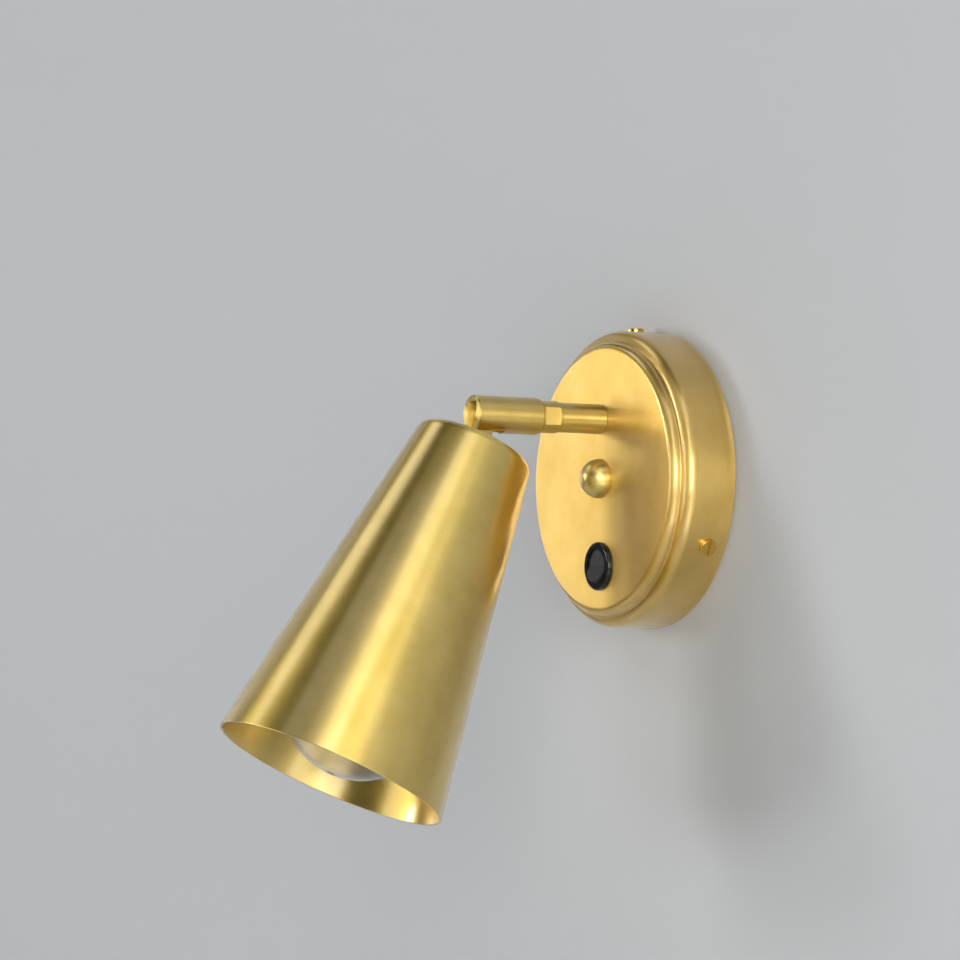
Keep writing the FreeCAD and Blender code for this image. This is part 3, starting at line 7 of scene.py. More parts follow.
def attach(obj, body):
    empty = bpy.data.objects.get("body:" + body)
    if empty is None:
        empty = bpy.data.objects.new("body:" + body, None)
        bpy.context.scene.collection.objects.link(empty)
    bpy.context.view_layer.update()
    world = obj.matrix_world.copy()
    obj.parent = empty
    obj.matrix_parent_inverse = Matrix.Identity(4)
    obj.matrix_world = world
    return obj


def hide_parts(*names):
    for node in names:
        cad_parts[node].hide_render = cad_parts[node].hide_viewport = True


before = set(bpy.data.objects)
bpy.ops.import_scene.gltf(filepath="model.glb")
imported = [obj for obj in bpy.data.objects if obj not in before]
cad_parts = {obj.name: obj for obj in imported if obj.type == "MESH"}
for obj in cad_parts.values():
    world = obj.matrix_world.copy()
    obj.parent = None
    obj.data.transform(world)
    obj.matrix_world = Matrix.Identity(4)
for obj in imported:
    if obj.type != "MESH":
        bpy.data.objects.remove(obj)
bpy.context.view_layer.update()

# Bedside wall reading lamp in satin brushed brass. The wall is the plane Y = 0, the lamp stands
# out from it towards -Y, +Z is up. Sizes are in metres; MM turns millimetres into metres.
MM = 0.001

# ---- the lamp's axes: a point on each, and its direction away from the wall or from the pivot ----
ROSE_RADIUS = 60 * MM
ROSE_FACE_AT = 25.9 * MM                # the rose's flat face, from the wall
ARM_UP = 24 * MM                        # the arm's axis, over the rose's middle
PIVOT_OUT = 77.3 * MM                   # the pivot of the tilt, from the wall
PIVOT = Vector((0, -PIVOT_OUT, ARM_UP))
SHADE_LEAN = math.radians(26.2)         # from straight down, away from the wall
OUT = Vector((0, -1, 0))
DOWN_SHADE = Vector((0, -math.sin(SHADE_LEAN), -math.cos(SHADE_LEAN)))
ROSE_AXIS = (Vector((0, 0, 0)), OUT)
ARM_AXIS = (Vector((0, 0, ARM_UP)), OUT)
SHADE_AXIS = (PIVOT, DOWN_SHADE)

# ---- sizes of the patterns ----
# Real brushing leaves several scratches in each millimetre, which is too fine to show in the
# render. The lines round a piece and the upright scratches on the rose's face are drawn coarser.
BRUSH_LINE = 0.8 * MM
FACE_SCRATCH_WIDTH = 0.9 * MM
FACE_SCRATCH_LENGTH = 25 * MM
FACE_EDGE = 1.6 * MM                    # depth in which brushing round turns to up and down
TONE_PATCH = 14 * MM                    # size of the cloudy patches in the brass's tone
SCRATCH_SHARE = 0.4                     # what the scratches add to those patches
TONE_RANGE = (0.45, 0.95)               # from all dark to all light
BRUSH_DEPTH = 0.0015 * MM
BRUSH_SWING = 0.04                      # how far the scratches move the roughness either way
GRAIN_SWING = 0.05                      # the same for the grain of plain metal
GRAIN_DEPTH = 0.004 * MM
MOULD_SWING = 0.15                      # for moulded pieces, as a share of their roughness
NOISE_RANGE = (0.3, 0.7)                # where nearly all values of a noise lie
GLASS_WAVE = 12 * MM
GLASS_DEPTH = 0.02 * MM
BAND_SCALE = 12 * MM                    # gives a yellow band every 7.5 mm or less
BAND_STARTS = 0.55                      # leaves a little under half of the cover yellow

# ---- how light bends ----
MOULDED_IOR = 1.5
GLASS_IOR = 1.52
LACQUER_IOR = 1.7                       # above a real lacquer's 1.5, for its pale sheen to show


# ---- small helpers ----

def linear(hex_colour):
    """An sRGB colour such as "#C8A24B" as linear red, green, blue and alpha."""
    parts = [int(hex_colour[i:i + 2], 16) / 255 for i in (1, 3, 5)]
    return [p / 12.92 if p <= 0.04045 else ((p + 0.055) / 1.055) ** 2.4 for p in parts] + [1.0]


def new_material(name):
    """A material, its node tree, and the shader that is already in it."""
    material = bpy.data.materials.new(name)
    material.use_nodes = True
    return material, material.node_tree, material.node_tree.nodes["Principled BSDF"]


def add(tree, kind, settings=None, **inputs):
    """Adds a node. settings are its own values; inputs are socket values or links, by socket name,
    where _ stands for a space, or by number, such as in0."""
    node = tree.nodes.new(kind)
    for key, value in (settings or {}).items():
        setattr(node, key, value)
    for key, value in inputs.items():
        index = int(key[2:]) if key.startswith("in") and key[2:].isdigit() else None
        socket = node.inputs[key.replace("_", " ") if index is None else index]
        if isinstance(value, bpy.types.NodeSocket):
            tree.links.new(value, socket)
        else:
            socket.default_value = value
    return node


def set_shader(shader, **values):
    """Sets the shader's own sockets, such as Metallic=1."""
    for key, value in values.items():
        shader.inputs[key.replace("_", " ")].default_value = value


# ---- how each kind of surface is made ----

def along_and_round(tree, axis, sign, round_scale, line_size):
    """A vector for lines that run round an axis: it changes slowly round it, and once in line_size
    along the outline. sign says whether the radius grows (1) or shrinks (-1) away from the foot.
    Also gives the place, the height along the axis and the direction round it."""
    point, direction = axis
    place = add(tree, "ShaderNodeTexCoord").outputs["Object"]
    offset = add(tree, "ShaderNodeVectorMath", {"operation": "SUBTRACT"}, in0=place,
                 in1=point).outputs[0]
    height = add(tree, "ShaderNodeVectorMath", {"operation": "DOT_PRODUCT"}, in0=offset,
                 in1=direction).outputs["Value"]
    around = add(tree, "ShaderNodeVectorMath", {"operation": "CROSS_PRODUCT"}, in0=direction,
                 in1=offset).outputs[0]
    radius = add(tree, "ShaderNodeVectorMath", {"operation": "LENGTH"},
                 in0=around).outputs["Value"]
    unit = add(tree, "ShaderNodeVectorMath", {"operation": "NORMALIZE"}, in0=around).outputs[0]
    slow = add(tree, "ShaderNodeVectorMath", {"operation": "SCALE"}, in0=unit,
               Scale=round_scale).outputs[0]
    outline = add(tree, "ShaderNodeMath", {"operation": "MULTIPLY_ADD"}, in0=radius, in1=sign,
                  in2=height).outputs[0]
    run = add(tree, "ShaderNodeVectorMath", {"operation": "SCALE"}, in0=direction,
              Scale=outline).outputs[0]
    fast = add(tree, "ShaderNodeVectorMath", {"operation": "SCALE"}, in0=run,
               Scale=1 / line_size).outputs[0]
    lines = add(tree, "ShaderNodeVectorMath", {"operation": "ADD"}, in0=slow,
                in1=fast).outputs[0]
    return place, height, unit, lines


def brushed_brass(name, axis, sign, roughness, stretch, face_at=None, turns=5.0, lacquer=0.18,
                  dark="#D3B554", light="#E2C469"):
    """Brass brushed round its axis under clear lacquer: the fine scratches stretch each reflection
    along the outline, and leave faint lines round the piece. stretch is how far they do so, turns
    how soon a line breaks up on its way round, and lacquer the roughness of the lacquer. A front
    at face_at is brushed straight up and down instead."""
    material, tree, shader = new_material(name)
    place, height, around, lines = along_and_round(tree, axis, sign, turns, BRUSH_LINE)
    if face_at:
        upright = add(tree, "ShaderNodeVectorMath", {"operation": "MULTIPLY"}, in0=place,
                      in1=(1 / FACE_SCRATCH_WIDTH, 0, 1 / FACE_SCRATCH_LENGTH)).outputs[0]
        on_face = add(tree, "ShaderNodeMapRange", {"interpolation_type": "SMOOTHSTEP"},
                      Value=height, in1=face_at - FACE_EDGE, in2=face_at).outputs[0]
        lines = add(tree, "ShaderNodeMix", {"data_type": "VECTOR"}, Factor=on_face, in4=lines,
                    in5=upright).outputs[1]
        side = add(tree, "ShaderNodeVectorMath", {"operation": "SIGN"}, in0=around).outputs[0]
        up = add(tree, "ShaderNodeVectorMath", {"operation": "MULTIPLY"}, in0=side,
                 in1=(0, 0, 1)).outputs[0]
        around = add(tree, "ShaderNodeMix", {"data_type": "VECTOR"}, Factor=on_face, in4=around,
                     in5=up).outputs[1]
    scratches = add(tree, "ShaderNodeTexNoise", Vector=lines, Scale=1.0, Detail=3.0,
                    Roughness=0.65).outputs["Fac"]
    cloud = add(tree, "ShaderNodeTexNoise", Vector=place, Scale=1 / TONE_PATCH, Detail=2.0
                ).outputs["Fac"]
    tone = add(tree, "ShaderNodeMath", {"operation": "MULTIPLY_ADD"}, in0=scratches,
               in1=SCRATCH_SHARE, in2=cloud).outputs[0]
    share = add(tree, "ShaderNodeMapRange", Value=tone, in1=TONE_RANGE[0],
                in2=TONE_RANGE[1]).outputs[0]
    colour = add(tree, "ShaderNodeMix", {"data_type": "RGBA"}, Factor=share, in6=linear(dark),
                 in7=linear(light)).outputs[2]
    rough = add(tree, "ShaderNodeMapRange", Value=scratches, in1=NOISE_RANGE[0],
                in2=NOISE_RANGE[1], in3=roughness - BRUSH_SWING,
                in4=roughness + BRUSH_SWING).outputs[0]
    bump = add(tree, "ShaderNodeBump", Strength=0.1, Distance=BRUSH_DEPTH, Height=scratches)
    turned = add(tree, "ShaderNodeVectorTransform",
                 {"vector_type": "VECTOR", "convert_from": "OBJECT", "convert_to": "WORLD"},
                 Vector=around).outputs[0]
    tree.links.new(colour, shader.inputs["Base Color"])
    tree.links.new(rough, shader.inputs["Roughness"])
    tree.links.new(bump.outputs[0], shader.inputs["Normal"])
    tree.links.new(turned, shader.inputs["Tangent"])
    set_shader(shader, Metallic=1.0, Anisotropic=stretch, Anisotropic_Rotation=0.25,
               Coat_Weight=1.0, Coat_Roughness=lacquer, Coat_IOR=LACQUER_IOR)
    return material


def mottled(name, dark, light, grain, rough_from, rough_to, strength, depth):
    """A surface with a fine grain that shows in its colour, its roughness and its bumps."""
    material, tree, shader = new_material(name)
    place = add(tree, "ShaderNodeTexCoord").outputs["Object"]
    mottle = add(tree, "ShaderNodeTexNoise", Vector=place, Scale=1 / grain, Detail=3.0
                 ).outputs["Fac"]
    colour = add(tree, "ShaderNodeMix", {"data_type": "RGBA"}, Factor=mottle, in6=linear(dark),
                 in7=linear(light)).outputs[2]
    rough = add(tree, "ShaderNodeMapRange", Value=mottle, in1=NOISE_RANGE[0],
                in2=NOISE_RANGE[1], in3=rough_from, in4=rough_to).outputs[0]
    bump = add(tree, "ShaderNodeBump", Strength=strength, Distance=depth, Height=mottle)
    tree.links.new(colour, shader.inputs["Base Color"])
    tree.links.new(rough, shader.inputs["Roughness"])
    tree.links.new(bump.outputs[0], shader.inputs["Normal"])
    return material, shader


def plain_metal(name, dark, light, roughness, grain):
    """Plated, turned or drawn metal: soft reflections, slightly mottled at the size of its
    grain."""
    material, shader = mottled(name, dark, light, grain, roughness - GRAIN_SWING,
                               roughness + GRAIN_SWING, 0.15, GRAIN_DEPTH)
    set_shader(shader, Metallic=1.0)
    return material


def moulded(name, dark, light, roughness, grain, depth):
    """Moulded plastic, cast glass or fired ceramic: a coloured body with a fine surface grain."""
    material, shader = mottled(name, dark, light, grain, roughness * (1 - MOULD_SWING),
                               roughness * (1 + MOULD_SWING), 0.4, depth)
    set_shader(shader, IOR=MOULDED_IOR)
    return material


def clear_glass(name):
    """Blown or pressed glass, with the faint waviness of the mould in its surface."""
    material, tree, shader = new_material(name)
    place = add(tree, "ShaderNodeTexCoord").outputs["Object"]
    wave = add(tree, "ShaderNodeTexNoise", Vector=place, Scale=1 / GLASS_WAVE, Detail=1.0
               ).outputs["Fac"]
    bump = add(tree, "ShaderNodeBump", Strength=0.1, Distance=GLASS_DEPTH, Height=wave)
    tree.links.new(bump.outputs[0], shader.inputs["Normal"])
    set_shader(shader, Base_Color=linear("#FFFFFF"), Roughness=0.0, IOR=GLASS_IOR,
               Transmission_Weight=1.0)
    return material


def striped_cover(name):
    """Green insulation crossed by slanting yellow bands: the two colours of an earth wire."""
    material, tree, shader = new_material(name)
    place = add(tree, "ShaderNodeTexCoord").outputs["Object"]
    band = add(tree, "ShaderNodeTexWave", {"wave_type": "BANDS", "bands_direction": "DIAGONAL"},
               Vector=place, Scale=1 / BAND_SCALE).outputs["Fac"]
    stripe = add(tree, "ShaderNodeMath", {"operation": "GREATER_THAN"}, in0=band,
                 in1=BAND_STARTS).outputs[0]
    colour = add(tree, "ShaderNodeMix", {"data_type": "RGBA"}, Factor=stripe,
                 in6=linear("#2E7A33"), in7=linear("#D8C21E")).outputs[2]
    tree.links.new(colour, shader.inputs["Base Color"])
    set_shader(shader, Roughness=0.4)
    return material


# ---- the lamp's materials ----

# Spun brass, brushed and lacquered. Its face, brushed up and down, shades evenly from bright to
# dark across the rose, and its rounded steps carry thin bright rings.
ROSE_BRASS = brushed_brass("brushed_brass_rose", ROSE_AXIS, -1, 0.42, 0.7, ROSE_FACE_AT,
                           dark="#D6B254", light="#E6C16A")
# Turned brass, smoothed all round: one soft round highlight. So small a dome shows no lines, so
# its pattern hardly changes round it.
DOME_BRASS = brushed_brass("brushed_brass_dome", ROSE_AXIS, -1, 0.36, 0.2, turns=0.1, lacquer=0.32)
# Brass turned from rod and brushed while it spins: soft bands of light along tube and knuckle.
ARM_BRASS = brushed_brass("brushed_brass_arm", ARM_AXIS, -1, 0.42, 0.85, turns=2.0)
# A spun brass cone, brushed round and lacquered: bright and dark bands that run from the top to
# the mouth with soft edges.
SHADE_BRASS = brushed_brass("brushed_brass_shade", SHADE_AXIS, 1, 0.38, 0.8)
# Drawn brass strip with no finish: warm, with fairly clear reflections.
PLAIN_BRASS = plain_metal("drawn_brass", "#C9A557", "#E6C87F", 0.25, 2 * MM)
# Brass turned from rod with no brushing: small sharp glints on the screw heads.
SCREW_BRASS = plain_metal("turned_brass", "#D2A648", "#E9C66E", 0.22, 1 * MM)
# Steel with bright zinc plating: cool pale grey, slightly cloudy.
ZINC = plain_metal("zinc_plated_steel", "#A9AEB0", "#CFD3D5", 0.32, 1.5 * MM)
# Steel with nickel plating: warm pale grey, with clear reflections.
NICKEL = plain_metal("nickel_plated_steel", "#BDB9B0", "#D8D5CE", 0.15, 3 * MM)
# Drawn tungsten wire: dark grey and dull.
TUNGSTEN = plain_metal("drawn_tungsten", "#5C5C5E", "#85858A", 0.35, 0.3 * MM)
# Nylon from a polished mould: black, with narrow clear highlights.
GLOSS_BLACK = moulded("gloss_black_nylon", "#0A0A0B", "#121213", 0.14, 1.2 * MM, 0.004 * MM)
# Nylon from a finely textured mould: black, with wide dim highlights.
SATIN_BLACK = moulded("satin_black_nylon", "#08080A", "#101012", 0.3, 0.5 * MM, 0.01 * MM)
# Moulded polyamide: off-white, with a waxy shine.
WHITE_PLASTIC = moulded("white_polyamide", "#DCDAD2", "#EDECE6", 0.45, 1.0 * MM, 0.01 * MM)
# Extruded wire covers: even colour, with a soft line of light along the wire.
BROWN_COVER = moulded("brown_insulation", "#4A2A18", "#5C351F", 0.4, 0.8 * MM, 0.01 * MM)
BLUE_COVER = moulded("blue_insulation", "#1C4C96", "#2660B4", 0.4, 0.8 * MM, 0.01 * MM)
BLACK_COVER = moulded("black_insulation", "#0C0C0C", "#161616", 0.45, 0.8 * MM, 0.01 * MM)
EARTH_COVER = striped_cover("green_yellow_insulation")
# Pressed and fired ceramic without a glaze: creamy white, smooth, with a soft shine.
CERAMIC = moulded("fired_steatite", "#E4E0D4", "#F1EEE6", 0.3, 1.5 * MM, 0.01 * MM)
# Blown soda glass: clear, and seen mostly by its edge and its small highlights.
CLEAR_GLASS = clear_glass("clear_soda_glass")
# Dark glass cast in the bulb's cap: near black and glossy.
BLACK_GLASS = moulded("black_cast_glass", "#08080A", "#101014", 0.08, 2 * MM, 0.005 * MM)

FINISHES = {
    ROSE_BRASS: ["rose_cover"],
    DOME_BRASS: ["dome_nut"],
    SCREW_BRASS: ["side_screws"],
    ARM_BRASS: ["arm_tube", "swivel_base", "knuckle_body", "pivot_screw"],
    SHADE_BRASS: ["shade_stem", "shade"],
    PLAIN_BRASS: ["terminal_inserts", "earth_tag", "switch_common_terminal",
                  "switch_load_terminal", "switch_contact", "lampholder_shell",
                  "lampholder_contact"],
    ZINC: ["back_plate", "lug_nuts", "dome_stud", "dome_washer", "dome_lock_nut", "arm_nipple",
           "arm_washer", "arm_lock_nut", "terminal_screws", "terminal_fixing_screw",
           "earth_screw", "switch_spring", "swivel_grub_screw", "swivel_spring_washer",
           "pivot_spring_washer", "shade_washer", "shade_lock_nut", "lampholder_screws"],
    GLOSS_BLACK: ["switch_housing", "lampholder_cap", "lampholder_skirt"],
    SATIN_BLACK: ["switch_rocker", "switch_plunger"],
    WHITE_PLASTIC: ["terminal_block"],
    BROWN_COVER: ["feed_wire", "live_wire"],
    BLACK_COVER: ["knuckle_wires", "stem_wires"],
    BLUE_COVER: ["neutral_wire"],
    EARTH_COVER: ["earth_wire"],
    CERAMIC: ["lampholder_core"],
    NICKEL: ["bulb_cap", "bulb_contact", "bulb_leads"],
    CLEAR_GLASS: ["bulb_glass", "bulb_mount"],
    BLACK_GLASS: ["bulb_insulator"],
    TUNGSTEN: ["bulb_filament"],
}
for finish, pieces in FINISHES.items():
    for piece_name in pieces:
        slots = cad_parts[piece_name].data.materials
        slots.clear()
        slots.append(finish)


# ---- pieces made by a rule: spun shade, slotted screws, coiled filament ----

HOOP = 1.0                              # radius of the circle that an outline is turned along
CORNER_STEPS = 8
SCREW_STEPS = 48
SHADE_STEPS = 256
POINTS_PER_TURN = 10                    # of the filament's coil
WIRE_SIDES = 6
SEAM = 1e-6                             # closer points are joined before a slot is cut
DOUBLE = 1e-7                           # closer points are joined in the finished mesh
SHARP_EDGE = math.radians(30)


def new_tree(name, sizes):
    """An empty Geometry Nodes tree with named inputs, its input node and its output node."""
    tree = bpy.data.node_groups.new(name, "GeometryNodeTree")
    for label, kind in sizes.items():
        tree.interface.new_socket(label, in_out="INPUT", socket_type="NodeSocket" + kind)
    tree.interface.new_socket("Geometry", in_out="OUTPUT", socket_type="NodeSocketGeometry")
    return tree, tree.nodes.new("NodeGroupInput").outputs, tree.nodes.new("NodeGroupOutput")


def finish_tree(tree, shape, material, end):
    """Every tree ends as real mesh with its material on it."""
    real = add(tree, "GeometryNodeRealizeInstances", Geometry=shape).outputs[0]
    dressed = add(tree, "GeometryNodeSetMaterial", Geometry=real, Material=material).outputs[0]
    tree.links.new(dressed, end.inputs[0])


def outline_points(tree, corners, rounds, closed):
    """A curve through corners, each (radius, height) and each rounded by its own radius."""
    count = len(corners)
    line = add(tree, "GeometryNodeMeshLine", Count=count).outputs[0]
    index = add(tree, "GeometryNodeInputIndex").outputs[0]
    places = add(tree, "GeometryNodeIndexSwitch", {"data_type": "VECTOR"})
    radii = add(tree, "GeometryNodeIndexSwitch", {"data_type": "FLOAT"})
    for switch, values in ((places, corners), (radii, rounds)):
        while len(switch.index_switch_items) < count:
            switch.index_switch_items.new()
        tree.links.new(index, switch.inputs[0])
        for i, value in enumerate(values):
            if switch is places:
                value = add(tree, "ShaderNodeCombineXYZ", X=value[0], Y=value[1]).outputs[0]
            if isinstance(value, bpy.types.NodeSocket):
                tree.links.new(value, switch.inputs[i + 1])
            else:
                switch.inputs[i + 1].default_value = value
    placed = add(tree, "GeometryNodeSetPosition", Geometry=line, Position=places.outputs[0])
    curve = add(tree, "GeometryNodeMeshToCurve", Mesh=placed.outputs[0]).outputs[0]
    if closed:
        curve = add(tree, "GeometryNodeSetSplineCyclic", Geometry=curve, Cyclic=True).outputs[0]
    return add(tree, "GeometryNodeFilletCurve", {"mode": "POLY"}, Curve=curve,
               Count=CORNER_STEPS, Radius=radii.outputs[0], Limit_Radius=True).outputs[0]


def spin(tree, outline, steps):
    """Turns an outline of (radius, height) once round the Z axis."""
    hoop = add(tree, "GeometryNodeCurvePrimitiveCircle", Resolution=steps, Radius=HOOP).outputs[0]
    inward = add(tree, "GeometryNodeTransform", Geometry=outline, Translation=(-HOOP, 0, 0),
                 Rotation=(math.pi, 0, 0)).outputs[0]
    return add(tree, "GeometryNodeCurveToMesh", Curve=hoop, Profile_Curve=inward).outputs[0]


def shade_tree():
    """Spun shade: a sheet of even thickness with a flat top and a straight, widening side."""
    tree, size, end = new_tree("spun_shade", {
        "Hole radius": "Float", "Top radius": "Float", "Mouth radius": "Float",
        "Top height": "Float", "Mouth height": "Float", "Slope": "Float", "Wall": "Float",
        "Wall across": "Float", "Shoulder": "Float", "Rim rounding": "Float", "Steps": "Int",
        "Material": "Material"})
    under = add(tree, "ShaderNodeMath", {"operation": "ADD"}, in0=size["Top height"],
                in1=size["Wall"]).outputs[0]
    outer = add(tree, "ShaderNodeMath", {"operation": "MULTIPLY_ADD"}, in0=size["Slope"],
                in1=size["Wall"], in2=size["Top radius"]).outputs[0]
    inner_top, inner_mouth, inner_round = [
        add(tree, "ShaderNodeMath", {"operation": "SUBTRACT"}, in0=whole, in1=part).outputs[0]
        for whole, part in ((outer, size["Wall across"]),
                            (size["Mouth radius"], size["Wall across"]),
                            (size["Shoulder"], size["Wall"]))]
    corners = [(size["Hole radius"], size["Top height"]), (size["Top radius"], size["Top height"]),
               (size["Mouth radius"], size["Mouth height"]), (inner_mouth, size["Mouth height"]),
               (inner_top, under), (size["Hole radius"], under)]
    rounds = [0.0, size["Shoulder"], size["Rim rounding"], size["Rim rounding"], inner_round, 0.0]
    sheet = spin(tree, outline_points(tree, corners, rounds, True), size["Steps"])
    finish_tree(tree, sheet, size["Material"], end)
    return tree


def screws_tree():
    """Slotted cheese-head screws, spaced evenly round the rose and pointing out of its side."""
    tree, size, end = new_tree("slotted_screws", {
        "Head radius": "Float", "Head height": "Float", "Shank radius": "Float",
        "Shank length": "Float", "Edge": "Float", "Slot width": "Float", "Slot depth": "Float",
        "Count": "Int", "First angle": "Float", "Ring radius": "Float", "Out of wall": "Float",
        "Material": "Material"})
    tip = add(tree, "ShaderNodeMath", {"operation": "MULTIPLY"}, in0=size["Shank length"],
              in1=-1.0).outputs[0]
    corners = [(0.0, tip), (size["Shank radius"], tip), (size["Shank radius"], 0.0),
               (size["Head radius"], 0.0), (size["Head radius"], size["Head height"]),
               (0.0, size["Head height"])]
    rounds = [0.0, size["Edge"], 0.0, 0.0, size["Edge"], 0.0]
    body = spin(tree, outline_points(tree, corners, rounds, False), SCREW_STEPS)
    body = add(tree, "GeometryNodeMergeByDistance", Geometry=body, Distance=SEAM).outputs[0]

    # the slot's cutter is longer than the head is wide, and half of its height is over the head
    blade = add(tree, "ShaderNodeCombineXYZ", X=size["Slot width"], Y=size["Head radius"],
                Z=size["Slot depth"]).outputs[0]
    blade = add(tree, "ShaderNodeVectorMath", {"operation": "MULTIPLY"}, in0=blade,
                in1=(1, 3, 2)).outputs[0]
    cutter = add(tree, "GeometryNodeMeshCube", Size=blade).outputs[0]
    top = add(tree, "ShaderNodeCombineXYZ", Z=size["Head height"]).outputs[0]
    cutter = add(tree, "GeometryNodeTransform", Geometry=cutter, Translation=top).outputs[0]
    screw = add(tree, "GeometryNodeMeshBoolean", {"operation": "DIFFERENCE", "solver": "EXACT"},
                in0=body, in1=cutter).outputs[0]

    index = add(tree, "GeometryNodeInputIndex").outputs[0]
    step = add(tree, "ShaderNodeMath", {"operation": "DIVIDE"}, in0=math.tau,
               in1=size["Count"]).outputs[0]
    angle = add(tree, "ShaderNodeMath", {"operation": "MULTIPLY_ADD"}, in0=index, in1=step,
                in2=size["First angle"]).outputs[0]
    across, up = [add(tree, "ShaderNodeMath", {"operation": wave}, in0=angle).outputs[0]
                  for wave in ("COSINE", "SINE")]
    outward = add(tree, "ShaderNodeCombineXYZ", X=across, Z=up).outputs[0]
    ring = add(tree, "ShaderNodeVectorMath", {"operation": "SCALE"}, in0=outward,
               Scale=size["Ring radius"]).outputs[0]
    out = add(tree, "ShaderNodeVectorMath", {"operation": "SCALE"}, in0=OUT,
              Scale=size["Out of wall"]).outputs[0]
    place = add(tree, "ShaderNodeVectorMath", {"operation": "ADD"}, in0=ring, in1=out).outputs[0]
    points = add(tree, "GeometryNodePoints", Count=size["Count"], Position=place).outputs[0]
    facing = add(tree, "FunctionNodeAxesToRotation",
                 {"primary_axis": "Z", "secondary_axis": "X"}, in0=outward,
                 in1=(0, 1, 0)).outputs[0]
    screws = add(tree, "GeometryNodeInstanceOnPoints", Points=points, Instance=screw,
                 Rotation=facing).outputs[0]
    finish_tree(tree, screws, size["Material"], end)
    return tree


def filament_tree():
    """Fine wire wound in a coil that sags between the two leads."""
    tree, size, end = new_tree("coiled_filament", {
        "Half span": "Float", "Height": "Float", "Sag": "Float", "Coil radius": "Float",
        "Wire radius": "Float", "Turns": "Int", "Material": "Material"})
    points = add(tree, "ShaderNodeMath", {"operation": "MULTIPLY"}, in0=size["Turns"],
                 in1=POINTS_PER_TURN).outputs[0]
    line = add(tree, "GeometryNodeMeshLine", Count=points).outputs[0]
    index = add(tree, "GeometryNodeInputIndex").outputs[0]
    share = add(tree, "ShaderNodeMath", {"operation": "DIVIDE"}, in0=index,
                in1=points).outputs[0]

    # side runs from -1 at one lead to 1 at the other, and bow from 0 at each to 1 in the middle
    side = add(tree, "ShaderNodeMath", {"operation": "MULTIPLY_ADD"}, in0=share, in1=2.0,
               in2=-1.0).outputs[0]
    square = add(tree, "ShaderNodeMath", {"operation": "MULTIPLY"}, in0=side,
                 in1=side).outputs[0]
    bow = add(tree, "ShaderNodeMath", {"operation": "SUBTRACT"}, in0=1.0,
              in1=square).outputs[0]
    droop = add(tree, "ShaderNodeMath", {"operation": "MULTIPLY"}, in0=bow,
                in1=size["Sag"]).outputs[0]
    level = add(tree, "ShaderNodeMath", {"operation": "SUBTRACT"}, in0=size["Height"],
                in1=droop).outputs[0]

    turn = add(tree, "ShaderNodeMath", {"operation": "MULTIPLY"}, in0=index,
               in1=math.tau / POINTS_PER_TURN).outputs[0]
    across, up = [add(tree, "ShaderNodeMath", {"operation": wave}, in0=turn).outputs[0]
                  for wave in ("COSINE", "SINE")]
    x = add(tree, "ShaderNodeMath", {"operation": "MULTIPLY"}, in0=across,
            in1=size["Coil radius"]).outputs[0]
    y = add(tree, "ShaderNodeMath", {"operation": "MULTIPLY"}, in0=side,
            in1=size["Half span"]).outputs[0]
    z = add(tree, "ShaderNodeMath", {"operation": "MULTIPLY_ADD"}, in0=up,
            in1=size["Coil radius"], in2=level).outputs[0]
    place = add(tree, "ShaderNodeCombineXYZ", X=x, Y=y, Z=z).outputs[0]
    placed = add(tree, "GeometryNodeSetPosition", Geometry=line, Position=place).outputs[0]
    path = add(tree, "GeometryNodeMeshToCurve", Mesh=placed).outputs[0]
    section = add(tree, "GeometryNodeCurvePrimitiveCircle", Resolution=WIRE_SIDES,
                  Radius=size["Wire radius"]).outputs[0]
    wire = add(tree, "GeometryNodeCurveToMesh", Curve=path, Profile_Curve=section,
               Fill_Caps=True).outputs[0]
    finish_tree(tree, wire, size["Material"], end)
    return tree


def grow(name, tree, sizes, place=Matrix.Identity(4)):
    """Runs a tree with these sizes and returns the plain mesh object that it makes."""
    seed = bpy.data.objects.new("seed", bpy.data.meshes.new("seed"))
    bpy.context.scene.collection.objects.link(seed)
    modifier = seed.modifiers.new("grow", "NODES")
    modifier.node_group = tree
    sockets = {item.name: item.identifier for item in tree.interface.items_tree
               if item.in_out == "INPUT"}
    for label, value in sizes.items():
        modifier[sockets[label]] = value
    bpy.context.view_layer.update()
    grown = seed.evaluated_get(bpy.context.evaluated_depsgraph_get())
    mesh = bpy.data.meshes.new_from_object(grown)
    bpy.data.objects.remove(seed)
    mesh.name = name
    mesh.materials.clear()
    mesh.materials.append(sizes["Material"])
    mesh.polygons.foreach_set("material_index", [0] * len(mesh.polygons))
    mesh.transform(place)
    bm = bmesh.new()
    bm.from_mesh(mesh)
    bmesh.ops.remove_doubles(bm, verts=bm.verts, dist=DOUBLE)
    bmesh.ops.recalc_face_normals(bm, faces=bm.faces)
    bm.to_mesh(mesh)
    bm.free()
    mesh.shade_smooth()
    mesh.set_sharp_from_angle(angle=SHARP_EDGE)
    piece = bpy.data.objects.new(name, mesh)
    bpy.context.scene.collection.objects.link(piece)
    return piece


def stand_for(piece, body, slot, *nodes):
    """The piece rides on its body and is shown in place of the CAD nodes."""
    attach(piece, body)
    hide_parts(*nodes)


